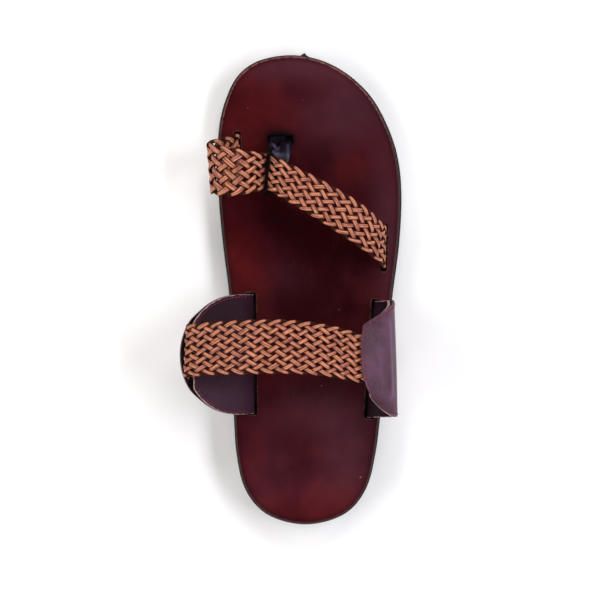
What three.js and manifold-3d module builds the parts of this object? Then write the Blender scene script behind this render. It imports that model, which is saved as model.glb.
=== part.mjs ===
// Braided leather slipper for the right foot: a rubber outsole, a slotted leather footbed,
// a braided toe strap held down by a thong, and a braided instep strap between two-ply ears.
// Millimetres, +Z up, +Y to the toe, +X to the outer side of the foot.
// The origin is on the floor under the middle of the heel.
import * as THREE from 'three';
import { mergeVertices } from 'three/addons/utils/BufferGeometryUtils.js';
import Module from 'manifold-3d';

const wasm = await Module();
wasm.setup();

// Sole
const SOLE_LENGTH = 270;
const HEEL_CENTRE = 41.5;
const HALF_BREADTH = 48;
const HEEL_PAD = 72;
const BREAST_RUN = 7;
const ARCH_RISE = 5;
const ARCH_END = 146;
const SPRING_START = 196;
const TREAD_SPRING = 7;
const HEEL_SEAT = 13.5;
const BALL_SEAT = 6;
const SEAT_FALL_START = 58;
const SEAT_FALL_END = 168;
const SEAT_SPRING = 6.2;
const TOE_SWING = 8;
const TREAD_EDGE = 1.6;
const NIB = { x: -0.6, width: 4.6, reach: 1.6, height: 2.4, sink: 0.35 };

// Footbed and leather
const FOOTBED_THICKNESS = 4.5;
const FOOTBED_INSET = 1;
const FOOTBED_ROUNDING = 1.1;
const SEAM_GAP = 0.3;
const PUNCH_DEPTH = 40;
const BULGE_ROOM = 0.5;
const PLY = 1.6;

// Ears
const EAR_TAIL = 4.2;
const LINING_SHORT = 0.8;
const CORNER_SHORT = 2;
const NOSE_SHORT = 6;
const EAR_COLUMNS = 12;
const BULGE = { start: 20, full: 15, flat: 0.54, end: 0.76 };

// Braids
const STRAND_THICKNESS = 1.25;
const WEB_HALF = 0.35;
const STRAND_HALF = 0.31;
const CREST_HALF = 0.62;
const EDGE_OVERHANG = 0.45;
const COLUMN_PITCH = 4.4;
const FOOT_LIFT = 0.9;
const TURN_LIFT = 0.6;
const END_SHARE = 0.65;
const INSTEP_STRANDS = 13;
const TOE_STRANDS = 9;

const WELD = 1e-4;

// Half breadths of the sole from its spine, by distance from the back of the heel.
const SOLE_OUTLINE = [
  { station: 0, medial: 0, lateral: 0 },
  { station: 7, medial: 24, lateral: 24 },
  { station: 20.5, medial: 34.8, lateral: 34.8 },
  { station: 40, medial: 39.6, lateral: 40.1 },
  { station: 62, medial: 41.2, lateral: 43 },
  { station: 100, medial: 42.3, lateral: 47 },
  { station: 131, medial: 44, lateral: 50.3 },
  { station: 163, medial: 48, lateral: 54.4 },
  { station: 191, medial: 50.4, lateral: 55.6 },
  { station: 214, medial: 50.5, lateral: 53.4 },
  { station: 232.6, medial: 47.5, lateral: 48.1 },
  { station: 246.4, medial: 41.8, lateral: 41.7 },
  { station: 257.9, medial: 33.8, lateral: 31.8 },
  { station: 266, medial: 21.8, lateral: 19.2 },
  { station: 270, medial: 0, lateral: 0 },
];

// Slots in the footbed, from their back end to their front end.
const SLOTS = {
  earMedial: { backX: -30.8, backY: 22.1, frontX: -31.6, frontY: 91.3, width: 5.6 },
  earLateral: { backX: 36.6, backY: 19.9, frontX: 41.3, frontY: 87.5, width: 5.6 },
  toeMedial: { backX: -38.8, backY: 156.4, frontX: -39.4, frontY: 184.2, width: 3.2 },
  toeLateral: { backX: 44.9, backY: 104.3, frontX: 45.5, frontY: 131, width: 3.2 },
  thong: { backX: -21.2, backY: 180, frontX: -7.2, frontY: 180, width: 4.4 },
};

// How far each ear leans from level, by distance along the leather from its foot.
const MEDIAL_BENDS = [
  { along: 0, front: 90, back: 90 },
  { along: 4.5, front: 88, back: 88 },
  { along: 10, front: 52, back: 52 },
  { along: 16, front: 34, back: 34 },
  { along: 26, front: 29, back: 29 },
  { along: 52, front: 26, back: 26 },
];
const LATERAL_BENDS = [
  { along: 0, front: 90, back: 90 },
  { along: 4.5, front: 88, back: 84 },
  { along: 9, front: 66, back: 38 },
  { along: 17, front: 62, back: 37 },
  { along: 23, front: 90, back: 74 },
  { along: 31, front: 128, back: 128 },
  { along: 38, front: 154, back: 158 },
  { along: 52, front: 160, back: 164 },
];

// Side of the foot, turn of the ear towards the toe in degrees, depth from the slot's mouth
// to the round edge, length of the straight flanks, fullness of the round edge on either side
// of its middle, climb of the straight cut at its front corner, and room for the glue between
// the plies.
const MEDIAL_EAR = {
  side: -1, sweep: 0, depth: 47, flank: 12, fullness: { front: 2.05, back: 2.05 },
  corner: null, seam: 0.55, rows: 8, bends: MEDIAL_BENDS,
};
const LATERAL_EAR = {
  side: 1, sweep: 8, depth: 46, flank: 18, fullness: { front: 3.4, back: 2 },
  corner: 69, seam: 0.75, rows: 12, bends: LATERAL_BENDS,
};

// Where the instep braid lies between the plies: its edges as shares of the ear's half length,
// and rows by their distance past the ear's edge.
const MEDIAL_TUCK = { front: 0.45, back: -0.41, rows: [-8, -4.5, -1.2, 0.8] };
const LATERAL_TUCK = { front: 0.47, back: -0.37, rows: [-2, -6, -10] };

// The free run of the instep braid, from the big-toe side across.
const INSTEP_RUN = [
  { x: -66.4, z: 44.4, front: 74.5, back: 44.2, skew: 0.8 },
  { x: -63.4, z: 48.2, front: 74.5, back: 44.5, skew: 1 },
  { x: -52, z: 52.2, front: 75.8, back: 45.7, skew: 0.4 },
  { x: -30, z: 56.6, front: 77, back: 46.4, skew: 0 },
  { x: -10, z: 57.6, front: 77, back: 46.6, skew: 0 },
  { x: 10, z: 54.6, front: 74.6, back: 45.2, skew: 0 },
  { x: 24, z: 49.6, front: 71.2, back: 42.6, skew: 0 },
];

// The toe braid from the slot by the big toe across to the outer slot, by its two edges.
const TOE_RUN = [
  { frontX: -39.3, frontY: 183.6, backX: -38.8, backY: 157, z: 11.6 },
  { frontX: -46.4, frontY: 181, backX: -45.2, backY: 152.4, z: 19.4 },
  { frontX: -55.2, frontY: 177.7, backX: -52.8, backY: 147.4, z: 28 },
  { frontX: -51.6, frontY: 176.0, backX: -49.2, backY: 146.0, z: 34 },
  { frontX: -41.3, frontY: 173.4, backX: -39.6, backY: 145.4, z: 37 },
  { frontX: -30.7, frontY: 171.7, backX: -30.2, backY: 147.6, z: 34 },
  { frontX: -20.6, frontY: 170.2, backX: -22.8, backY: 149.6, z: 28 },
  { frontX: -8.3, frontY: 164.7, backX: -14.5, backY: 145.2, z: 30 },
  { frontX: 17.6, frontY: 150.8, backX: 5.8, backY: 132.8, z: 34.6 },
  { frontX: 34.4, frontY: 140.3, backX: 22.8, backY: 121.9, z: 31.6 },
  { frontX: 43.2, frontY: 131.8, backX: 38.3, backY: 111.1, z: 24.6 },
  { frontX: 45.2, frontY: 130.4, backX: 44.3, backY: 105.8, z: 17.6 },
  { frontX: 45.5, frontY: 130.2, backX: 44.9, backY: 105.1, z: 10.8 },
];

// The thong's loop seen from the side, from the front leg in its slot round to the back leg.
const THONG_LOOP = [
  { x: -17.4, y: 181, z: 7.2, width: 6.4 },
  { x: -17.4, y: 181, z: 12, width: 6.4 },
  { x: -18.2, y: 177.4, z: 20, width: 5.4 },
  { x: -19.8, y: 173.6, z: 27.6, width: 3.8 },
  { x: -20.8, y: 170, z: 30.5, width: 2.4 },
  { x: -21.8, y: 160, z: 30.7, width: 1.8 },
  { x: -22.6, y: 149.6, z: 30.5, width: 2.2 },
  { x: -22.4, y: 147.4, z: 28, width: 3 },
  { x: -20.6, y: 150.6, z: 24.8, width: 6 },
  { x: -16.6, y: 162, z: 23.8, width: 10 },
  { x: -14.2, y: 172, z: 20.6, width: 12.4 },
  { x: -14.2, y: 178.6, z: 13, width: 12.4 },
  { x: -14.2, y: 179, z: 7.2, width: 12.4 },
];
const THONG_THICKNESS = 1.5;

// Stretches of the toe braid, measured from its first foot, where daylight shows through.
const TOE_FREE_SPANS = [
  { from: 14, to: 62 },
  { from: 78, to: 138 },
];

const rubber = new THREE.MeshStandardMaterial({ color: 0x1b1a1c, roughness: 0.75 });
const mahogany = new THREE.MeshStandardMaterial({ color: 0x4a2620, roughness: 0.42 });
const plum = new THREE.MeshStandardMaterial({ color: 0x3b2427, roughness: 0.4 });
const lining = new THREE.MeshStandardMaterial({ color: 0x33201f, roughness: 0.45 });
const tan = new THREE.MeshStandardMaterial({ color: 0xa9663f, roughness: 0.5 });
const black = new THREE.MeshStandardMaterial({ color: 0x15151a, roughness: 0.35 });

const { lerp, smoothstep, degToRad } = THREE.MathUtils;

// A table's columns as smooth functions of its first column.
function smoothTable(rows, columns) {
  const [key, ...names] = columns;
  const places = rows.map((row) => row[key]);
  const values = rows.flatMap((row) => names.map((name) => row[name]));
  const spline = new THREE.CubicInterpolant(places, values, names.length);
  return (at) => {
    const result = spline.evaluate(at);
    return Object.fromEntries(names.map((name, i) => [name, result[i]]));
  };
}

function signedVolume(corners, positions) {
  const [a, b, c] = [new THREE.Vector3(), new THREE.Vector3(), new THREE.Vector3()];
  let volume = 0;
  for (let t = 0; t < corners.length; t += 3) {
    a.fromBufferAttribute(positions, corners[t]);
    b.fromBufferAttribute(positions, corners[t + 1]);
    c.fromBufferAttribute(positions, corners[t + 2]);
    volume += a.dot(b.cross(c)) / 6;
  }
  return volume;
}

// Welds points that coincide, leaves out the triangles that collapse, and faces the rest outward.
function geometryOf(points, triangles) {
  const loose = new THREE.BufferGeometry().setFromPoints(points);
  loose.setIndex(triangles);
  const welded = mergeVertices(loose, WELD);
  const corners = welded.index.array;
  const kept = [];
  for (let t = 0; t < corners.length; t += 3) {
    const [a, b, c] = corners.slice(t, t + 3);
    if (a !== b && b !== c && c !== a) kept.push(a, b, c);
  }
  if (signedVolume(kept, welded.attributes.position) < 0) kept.reverse();
  welded.setIndex(kept);
  return welded;
}

function solidOf(geometry) {
  const vertProperties = new Float32Array(geometry.attributes.position.array);
  const triVerts = new Uint32Array(geometry.index.array);
  return new wasm.Manifold(new wasm.Mesh({ numProp: 3, vertProperties, triVerts }));
}

// A three.js shape as a solid: only its positions are kept, and its shared points are welded.
function bareSolid(geometry) {
  const points = geometry.deleteAttribute('normal').deleteAttribute('uv');
  return solidOf(mergeVertices(points, WELD));
}

function geometryFrom(solid) {
  const { vertProperties, triVerts } = solid.getMesh();
  const geometry = new THREE.BufferGeometry();
  geometry.setAttribute('position', new THREE.BufferAttribute(vertProperties, 3));
  geometry.setIndex(new THREE.BufferAttribute(triVerts, 1));
  return geometry;
}

function piece(name, geometry, material) {
  geometry.computeVertexNormals();
  const mesh = new THREE.Mesh(geometry, material);
  mesh.name = name;
  return mesh;
}

// Closed skin through rings that each run the same way round; the first and last are capped.
function skinOf(rings) {
  const count = rings[0].length;
  const triangles = [];
  for (let r = 0; r + 1 < rings.length; r++) {
    for (let i = 0; i < count; i++) {
      const a = r * count + i;
      const b = r * count + (i + 1) % count;
      triangles.push(a, b, b + count, a, b + count, a + count);
    }
  }
  const last = (rings.length - 1) * count;
  for (let i = 1; i + 1 < count; i++) {
    triangles.push(0, i + 1, i);
    triangles.push(last, last + i, last + i + 1);
  }
  return geometryOf(rings.flat(), triangles);
}

// Sole: breadths swell from the tips like a circle, so their squares are what is smoothed.
const breadthSquares = smoothTable(
  SOLE_OUTLINE.map(({ station, medial, lateral }) => ({
    station,
    medial: medial * medial,
    lateral: lateral * lateral,
  })),
  ['station', 'medial', 'lateral'],
);

function outlineAt(station, inset) {
  const squares = breadthSquares(station);
  const slimming = 1 - inset / HALF_BREADTH;
  const beyondBall = Math.max(0, station - SPRING_START) / (SOLE_LENGTH - SPRING_START);
  const spine = -TOE_SWING * beyondBall * beyondBall;
  const shortening = 1 - 2 * inset / SOLE_LENGTH;
  return {
    y: (station - SOLE_LENGTH / 2) * shortening + SOLE_LENGTH / 2 - HEEL_CENTRE,
    medial: spine - Math.sqrt(Math.max(0, squares.medial)) * slimming,
    lateral: spine + Math.sqrt(Math.max(0, squares.lateral)) * slimming,
  };
}

// Height of the tread above the floor: heel pad, breast, arch, forefoot pad, toe spring.
function ground(station) {
  const beyondBall = Math.max(0, station - SPRING_START) / (SOLE_LENGTH - SPRING_START);
  const breast = smoothstep(station, HEEL_PAD, HEEL_PAD + BREAST_RUN);
  const fall = 1 - smoothstep(station, HEEL_PAD + BREAST_RUN, ARCH_END);
  return ARCH_RISE * breast * fall + TREAD_SPRING * beyondBall * beyondBall;
}

// Height of the outsole's upper side, where the footbed lies.
function seat(station) {
  const beyondBall = Math.max(0, station - SPRING_START) / (SOLE_LENGTH - SPRING_START);
  const fall = smoothstep(station, SEAT_FALL_START, SEAT_FALL_END);
  return lerp(HEEL_SEAT, BALL_SEAT, fall) + SEAT_SPRING * beyondBall * beyondBall;
}

const seatUnder = (y) => seat(y + HEEL_CENTRE);

function soleStations() {
  const steps = 30;
  const stations = [HEEL_PAD, HEEL_PAD + BREAST_RUN / 2, HEEL_PAD + BREAST_RUN, ARCH_END];
  for (let i = 0; i <= steps; i++) {
    const station = SOLE_LENGTH * (1 - Math.cos(Math.PI * i / steps)) / 2;
    if (stations.slice(0, 4).every((other) => Math.abs(other - station) > 2)) stations.push(station);
  }
  return stations.sort((a, b) => a - b);
}

// A row of points across the sole, from the big-toe side.
function acrossSole(station, inset, z, count) {
  const { y, medial, lateral } = outlineAt(station, inset);
  return Array.from({ length: count }, (_, i) => (
    new THREE.Vector3(lerp(medial, lateral, i / (count - 1)), y, z)
  ));
}

function makeOutsole() {
  const rings = soleStations().map((station) => {
    const low = ground(station);
    const tread = acrossSole(station, TREAD_EDGE, low, 4);
    const shoulder = acrossSole(station, 0, low + TREAD_EDGE, 2);
    const top = acrossSole(station, 0, seat(station), 4).reverse();
    return [...tread, shoulder[1], ...top, shoulder[0]];
  });
  const body = solidOf(skinOf(rings));
  const tip = outlineAt(SOLE_LENGTH, 0);
  const nib = new THREE.BoxGeometry(NIB.width, NIB.reach * 2, NIB.height);
  nib.translate(NIB.x, tip.y - NIB.sink, seat(SOLE_LENGTH) - NIB.height / 2);
  return geometryFrom(body.add(bareSolid(nib)));
}

function slotPrism({ backX, backY, frontX, frontY, width }) {
  const run = new THREE.Vector2(frontX - backX, frontY - backY);
  const prism = new THREE.BoxGeometry(run.length(), width, PUNCH_DEPTH);
  prism.rotateZ(run.angle());
  prism.translate((backX + frontX) / 2, (backY + frontY) / 2, PUNCH_DEPTH / 4);
  return bareSolid(prism);
}

function makeFootbed() {
  const rings = soleStations().map((station) => {
    const low = seat(station) + SEAM_GAP;
    const high = low + FOOTBED_THICKNESS;
    const bottom = acrossSole(station, FOOTBED_INSET, low, 3);
    const shoulder = acrossSole(station, FOOTBED_INSET, high - FOOTBED_ROUNDING, 2);
    const top = acrossSole(station, FOOTBED_INSET + FOOTBED_ROUNDING, high, 3).reverse();
    return [...bottom, shoulder[1], ...top, shoulder[0]];
  });
  const slots = Object.values(SLOTS).map(slotPrism);
  return geometryFrom(slots.reduce((body, slot) => body.subtract(slot), solidOf(skinOf(rings))));
}

// Where a place on an ear lies: p runs from -1 at the slot's back end to 1 at its front end,
// along is measured on the leather from its foot, lift is outward from the seam between the plies.
function earPlace(slot, { side, sweep, bends }) {
  const lean = smoothTable(bends, ['along', 'front', 'back']);
  const run = new THREE.Vector2(slot.frontX - slot.backX, slot.frontY - slot.backY);
  const half = run.length() / 2 - 2 * SEAM_GAP;
  const ahead = run.clone().normalize();
  const square = new THREE.Vector2(ahead.y, -ahead.x).multiplyScalar(side);
  const out = square.rotateAround(new THREE.Vector2(), degToRad(sweep * side));
  const middle = new THREE.Vector2(slot.backX + slot.frontX, slot.backY + slot.frontY).multiplyScalar(0.5);
  const steps = 40;
  return (p, along, lift) => {
    let outward = 0;
    let up = 0;
    let angle = 0;
    for (let i = 0; i < steps; i++) {
      const { front, back } = lean(along * (i + 0.5) / steps);
      angle = degToRad(lerp(back, front, (p + 1) / 2));
      outward += Math.cos(angle) * along / steps;
      up += Math.sin(angle) * along / steps;
    }
    outward += Math.sin(angle) * lift;
    up -= Math.cos(angle) * lift;
    const foot = middle.clone().addScaledVector(ahead, p * half);
    const plan = foot.clone().addScaledVector(out, outward);
    return new THREE.Vector3(plan.x, plan.y, seatUnder(foot.y) + 2 * SEAM_GAP + up);
  };
}

const medialPlace = earPlace(SLOTS.earMedial, MEDIAL_EAR);
const lateralPlace = earPlace(SLOTS.earLateral, LATERAL_EAR);

// Length of an ear from its foot to its round edge, or to the straight cut at its front corner.
// Both are drawn back where a ply is cut short.
function earEdge(p, { depth, flank, fullness, corner }, short) {
  const power = p > 0 ? fullness.front : fullness.back;
  const swell = Math.pow(1 - Math.pow(Math.abs(p), power), 1 / power);
  const round = flank + (depth - short - flank) * swell;
  const straight = corner === null ? round : flank + corner * (1 - p) - CORNER_SHORT * short;
  return EAR_TAIL + Math.min(round, straight);
}

// The outer ply rises over the end of the braid that lies under it.
function braidBulge(p, along, { depth }) {
  const reach = EAR_TAIL + depth;
  const lengthwise = smoothstep(along, reach - BULGE.start, reach - BULGE.full);
  const across = 1 - smoothstep(Math.abs(p), BULGE.flat, BULGE.end);
  return (2 * STRAND_THICKNESS + BULGE_ROOM) * lengthwise * across;
}

// Columns crowd towards the flanks, where the round edge is steep.
function earColumn(share) {
  const crowded = share * (1.3 - 0.3 * share * share);
  return Math.sin(crowded * Math.PI / 2);
}

function makePly(place, ear, { short, nose, inner, outer }) {
  const rowCount = ear.rows;
  const faces = [[], []];
  for (let c = 0; c <= EAR_COLUMNS; c++) {
    const p = earColumn(2 * c / EAR_COLUMNS - 1);
    for (let r = 0; r <= rowCount; r++) {
      const edge = Math.min(earEdge(p, ear, short), EAR_TAIL + ear.depth - nose);
      const along = Math.min(earEdge(p, ear, 0) * r / rowCount, edge);
      faces[0].push(place(p, along, inner(p, along, ear)));
      faces[1].push(place(p, along, outer(p, along, ear)));
    }
  }
  const rows = rowCount + 1;
  const total = faces[0].length;
  const triangles = [];
  const quad = (a, b, c, d) => triangles.push(a, b, c, a, c, d);
  for (let c = 0; c < EAR_COLUMNS; c++) {
    for (let r = 0; r < rowCount; r++) {
      const a = c * rows + r;
      quad(a, a + rows, a + rows + 1, a + 1);
      quad(total + a, total + a + 1, total + a + rows + 1, total + a + rows);
    }
    const foot = c * rows;
    const edge = foot + rowCount;
    quad(foot, foot + total, foot + total + rows, foot + rows);
    quad(edge, edge + rows, edge + rows + total, edge + total);
  }
  const end = EAR_COLUMNS * rows;
  for (let r = 0; r < rowCount; r++) {
    quad(r, r + 1, r + 1 + total, r + total);
    quad(end + r, end + r + total, end + r + 1 + total, end + r + 1);
  }
  return geometryOf(faces.flat(), triangles);
}

// The lining is trimmed straight where the braid turns up between the plies.
const LINING_PLY = {
  short: LINING_SHORT,
  nose: NOSE_SHORT,
  inner: () => -PLY,
  outer: () => 0,
};
const OUTER_PLY = {
  short: 0,
  nose: 0,
  inner: (p, along, ear) => ear.seam + braidBulge(p, along, ear),
  outer: (p, along, ear) => ear.seam + braidBulge(p, along, ear) + PLY,
};

// A strap's surface from rows of its front and back edge points: place(distance, across, lift).
function strapSurface(rows) {
  const front = new THREE.CatmullRomCurve3(rows.map((row) => row.front), false, 'centripetal');
  const back = new THREE.CatmullRomCurve3(rows.map((row) => row.back), false, 'centripetal');
  const middle = (t) => front.getPoint(t).lerp(back.getPoint(t), 0.5);
  const samples = 600;
  const lengths = [0];
  for (let i = 1; i <= samples; i++) {
    const step = middle(i / samples).distanceTo(middle((i - 1) / samples));
    lengths.push(lengths[i - 1] + step);
  }
  const length = lengths[samples];
  const parameterAt = (distance) => {
    const target = Math.min(Math.max(distance, 0), length);
    const next = Math.max(1, lengths.findIndex((value) => value >= target));
    const share = (target - lengths[next - 1]) / (lengths[next] - lengths[next - 1]);
    return (next - 1 + share) / samples;
  };
  const place = (distance, across, lift) => {
    const t = parameterAt(distance);
    const at = (u) => back.getPoint(u).lerp(front.getPoint(u), (across + 1) / 2);
    const nudge = 0.002;
    const ahead = at(Math.min(1, t + nudge)).sub(at(Math.max(0, t - nudge)));
    const sideways = front.getPoint(t).sub(back.getPoint(t));
    const normal = ahead.cross(sideways).normalize();
    return at(t).addScaledVector(normal, lift);
  };
  return { length, place };
}

// The corners of a crossing in lattice steps, as shares of the two strand directions.
const CORNERS = { north: [1, -1], east: [1, 1], south: [-1, 1], west: [-1, -1] };

// One braided wall. Crossings sit on a lattice of columns and rows, and a strand turns at the first
// and last row. In every other column the strands that climb lie on top: in even columns, or in
// odd ones where climbsFirst is 1. Each top strand is a hump between two low ends.
function makeBraid(surface, strands, { climbsFirst, cutGap, plainUnder }) {
  const reach = strands / 2;
  const columns = Math.round(surface.length / COLUMN_PITCH / 2) * 2;
  const pitch = surface.length / (columns + 2 * END_SHARE);
  const rise = 1 / (reach + EDGE_OVERHANG);
  const points = [];
  const triangles = [];
  const nodes = new Map();
  const key = (column, row) => `${column},${row}`;

  const addPoint = (column, row, [first, second], lift) => {
    const distance = pitch * (column + END_SHARE + first + second);
    const across = rise * (row - reach + first - second);
    const held = Math.min(1, Math.max(-1, across));
    points.push(surface.place(distance, held, lift));
    return points.length - 1;
  };

  const addNode = (column, row) => {
    const turning = row === 0 || row === strands;
    const node = { faces: [] };
    for (const face of [1, -1]) {
      const climbing = (column % 2 === climbsFirst) === (face === 1);
      const spread = plainUnder && face < 0 ? 0 : 1;
      const first = spread * (climbing && !turning ? CREST_HALF : STRAND_HALF);
      const second = spread * (climbing || turning ? STRAND_HALF : CREST_HALF);
      const upper = turning ? STRAND_THICKNESS * TURN_LIFT : WEB_HALF;
      const low = face < 0 ? -STRAND_THICKNESS * FOOT_LIFT : upper;
      const ids = {};
      for (const [name, [a, b]] of Object.entries(CORNERS)) {
        ids[name] = addPoint(column, row, [a * first, b * second], low);
      }
      if (!turning && face > 0) {
        const steps = climbing ? [0, STRAND_HALF] : [STRAND_HALF, 0];
        const [near, far] = climbing ? ['westnorth', 'southeast'] : ['southwest', 'northeast'];
        ids[near] = addPoint(column, row, steps.map((step) => -step), STRAND_THICKNESS);
        ids[far] = addPoint(column, row, steps, STRAND_THICKNESS);
      }
      node.faces.push({ climbing, ids });
    }
    nodes.set(key(column, row), node);
  };

  for (let column = 0; column <= columns; column++) {
    for (let row = 0; row <= strands; row++) {
      if ((column + row) % 2 === 0) addNode(column, row);
    }
  }

  // The points along one side of a node, with the crest's point where the side has one.
  const side = (node, face, from, to) => {
    const { ids } = node.faces[face];
    const crest = ids[from + to] ?? ids[to + from];
    return crest === undefined ? [ids[from], ids[to]] : [ids[from], crest, ids[to]];
  };
  const walls = new Map();
  const fan = (loop, face) => {
    for (let i = 1; i + 1 < loop.length; i++) {
      const [a, b, c] = [loop[0], loop[i], loop[i + 1]];
      triangles.push(...(face === 0 ? [a, b, c] : [a, c, b]));
    }
  };
  const noteEdges = (loops) => {
    loops.forEach((edge) => {
      const back = edge.reversed;
      if (walls.has(back)) walls.delete(back);
      else walls.set(edge.name, edge);
    });
  };
  const edgeOf = (from, to, lines) => ({ name: `${from}>${to}`, reversed: `${to}>${from}`, lines });

  // A patch is a loop of sides; each side is a pair of lines, one on each face of the wall.
  const addPatch = (corners) => {
    const edges = corners.map(([place, name], i) => {
      const [nextPlace, nextName] = corners[(i + 1) % corners.length];
      const node = nodes.get(place);
      const next = nodes.get(nextPlace);
      const lines = [0, 1].map((face) => (
        place === nextPlace
          ? side(node, face, name, nextName)
          : [node.faces[face].ids[name], next.faces[face].ids[nextName]]
      ));
      return edgeOf(`${place}${name}`, `${nextPlace}${nextName}`, lines);
    });
    for (const face of [0, 1]) {
      const loop = edges.flatMap((edge) => edge.lines[face].slice(0, -1));
      const crests = edges.map(({ lines }) => lines[face]).filter((line) => line.length === 3);
      const crest = loop.findIndex((id) => crests.some((line) => line[1] === id));
      const turned = crest < 0 ? loop : [...loop.slice(crest), ...loop.slice(0, crest)];
      fan(turned, face);
    }
    noteEdges(edges);
  };

  for (const place of nodes.keys()) {
    const [column, row] = place.split(',').map(Number);
    const east = key(column + 1, row + 1);
    const south = key(column + 1, row - 1);
    const right = key(column + 2, row);
    addPatch([[place, 'south'], [place, 'east'], [place, 'north'], [place, 'west']]);
    if (nodes.has(east)) {
      addPatch([[place, 'east'], [east, 'south'], [east, 'west'], [place, 'north']]);
    }
    if (nodes.has(south)) {
      addPatch([[place, 'south'], [south, 'west'], [south, 'north'], [place, 'east']]);
    }
    const enclosed = nodes.has(east) && nodes.has(south) && nodes.has(right);
    if (enclosed && !cutGap(pitch * (column + 1 + END_SHARE))) {
      addPatch([[south, 'north'], [right, 'west'], [east, 'south'], [place, 'east']]);
    }
  }
  for (const { lines } of walls.values()) {
    const loop = [...lines[0].slice().reverse(), ...lines[1]];
    fan(loop, 0);
  }
  return geometryOf(points, triangles);
}

// Rows of a strap that lies between the plies of an ear, whose edge is reach from its foot.
function tuckedRows(place, { seam }, { front, back, rows }, reach) {
  const lift = seam + STRAND_THICKNESS;
  return rows.map((past) => ({
    front: place(front, reach + past, lift),
    back: place(back, reach + past, lift),
  }));
}

function instepSurface() {
  const medialReach = EAR_TAIL + MEDIAL_EAR.depth - NOSE_SHORT;
  const medialRows = tuckedRows(medialPlace, MEDIAL_EAR, MEDIAL_TUCK, medialReach);
  const lateralReach = EAR_TAIL + LATERAL_EAR.depth;
  const lateralRows = tuckedRows(lateralPlace, LATERAL_EAR, LATERAL_TUCK, lateralReach);
  const freeRows = INSTEP_RUN.map(({ x, z, front, back, skew }) => ({
    front: new THREE.Vector3(x + skew, front, z),
    back: new THREE.Vector3(x - skew, back, z),
  }));
  return strapSurface([...medialRows, ...freeRows, ...lateralRows]);
}

function toeSurface() {
  const rows = TOE_RUN.map(({ frontX, frontY, backX, backY, z }) => ({
    front: new THREE.Vector3(frontX, frontY, z),
    back: new THREE.Vector3(backX, backY, z),
  }));
  const footOf = ({ front, back }) => ({
    front: new THREE.Vector3(front.x, front.y, seatUnder(front.y) + 2 * SEAM_GAP),
    back: new THREE.Vector3(back.x, back.y, seatUnder(back.y) + 2 * SEAM_GAP),
  });
  return strapSurface([footOf(rows[0]), ...rows, footOf(rows[rows.length - 1])]);
}

function makeThong() {
  const line = new THREE.CatmullRomCurve3(
    THONG_LOOP.map(({ x, y, z }) => new THREE.Vector3(x, y, z)), false, 'centripetal',
  );
  const widths = THONG_LOOP.map((row) => row.width);
  const sideways = new THREE.Vector3(1, 0, 0);
  const steps = 36;
  const rings = Array.from({ length: steps + 1 }, (_, i) => {
    const t = i / steps;
    const spot = t * (widths.length - 1);
    const low = Math.min(Math.floor(spot), widths.length - 2);
    const half = lerp(widths[low], widths[low + 1], spot - low) / 2;
    const centre = line.getPoint(t);
    const ahead = line.getTangent(t);
    const normal = new THREE.Vector3(0, ahead.z, -ahead.y).normalize();
    const corner = (across, lift) => (
      centre.clone()
        .addScaledVector(sideways, across * half)
        .addScaledVector(normal, lift * THONG_THICKNESS / 2)
    );
    return [corner(-1, -1), corner(1, -1), corner(1, 1), corner(-1, 1)];
  });
  return skinOf(rings);
}

const instep = instepSurface();
const toe = toeSurface();
const noGap = () => false;
const inFreeSpan = (distance) => (
  TOE_FREE_SPANS.some(({ from, to }) => distance > from && distance < to)
);
const instepWeave = { climbsFirst: 0, cutGap: noGap, plainUnder: true };
const toeWeave = { climbsFirst: 1, cutGap: inFreeSpan, plainUnder: false };
const slipper = new THREE.Group();
slipper.name = 'slipper';
slipper.add(
  piece('outsole', makeOutsole(), rubber),
  piece('footbed', makeFootbed(), mahogany),
  piece('ear_medial_lining', makePly(medialPlace, MEDIAL_EAR, LINING_PLY), lining),
  piece('ear_medial_outer', makePly(medialPlace, MEDIAL_EAR, OUTER_PLY), plum),
  piece('ear_lateral_lining', makePly(lateralPlace, LATERAL_EAR, LINING_PLY), lining),
  piece('ear_lateral_outer', makePly(lateralPlace, LATERAL_EAR, OUTER_PLY), plum),
  piece('instep_braid', makeBraid(instep, INSTEP_STRANDS, instepWeave), tan),
  piece('toe_braid', makeBraid(toe, TOE_STRANDS, toeWeave), tan),
  piece('toe_thong', makeThong(), black),
);

export default slipper;
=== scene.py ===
# %% [markdown]
# A braided leather slipper for the right foot, built as a lesson in making surfaces with numpy.
# The solids of the part are loaded first as a fixed frame. Each piece is then worked out again
# as a fine surface on the same sizes, so that it lies where its solid lies.
# Sizes are in millimetres until a mesh is made: +Z is up, +Y points to the toe, and +X to the
# little-toe side. The origin is on the floor under the middle of the heel.

import bmesh
import bpy
import numpy as np
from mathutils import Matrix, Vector


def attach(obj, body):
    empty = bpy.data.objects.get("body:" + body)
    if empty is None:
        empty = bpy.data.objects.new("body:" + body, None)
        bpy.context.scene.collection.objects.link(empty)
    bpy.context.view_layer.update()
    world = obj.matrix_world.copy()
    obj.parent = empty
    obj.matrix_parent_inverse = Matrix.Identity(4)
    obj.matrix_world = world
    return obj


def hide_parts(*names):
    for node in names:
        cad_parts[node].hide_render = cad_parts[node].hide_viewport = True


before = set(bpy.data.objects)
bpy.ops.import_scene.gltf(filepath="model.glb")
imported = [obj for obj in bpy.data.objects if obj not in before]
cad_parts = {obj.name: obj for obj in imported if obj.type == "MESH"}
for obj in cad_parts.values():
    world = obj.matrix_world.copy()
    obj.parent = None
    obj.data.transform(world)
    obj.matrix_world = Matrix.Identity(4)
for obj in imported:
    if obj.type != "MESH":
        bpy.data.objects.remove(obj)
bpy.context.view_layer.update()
MM = 0.001
print("solids:", sorted(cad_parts))

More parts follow.
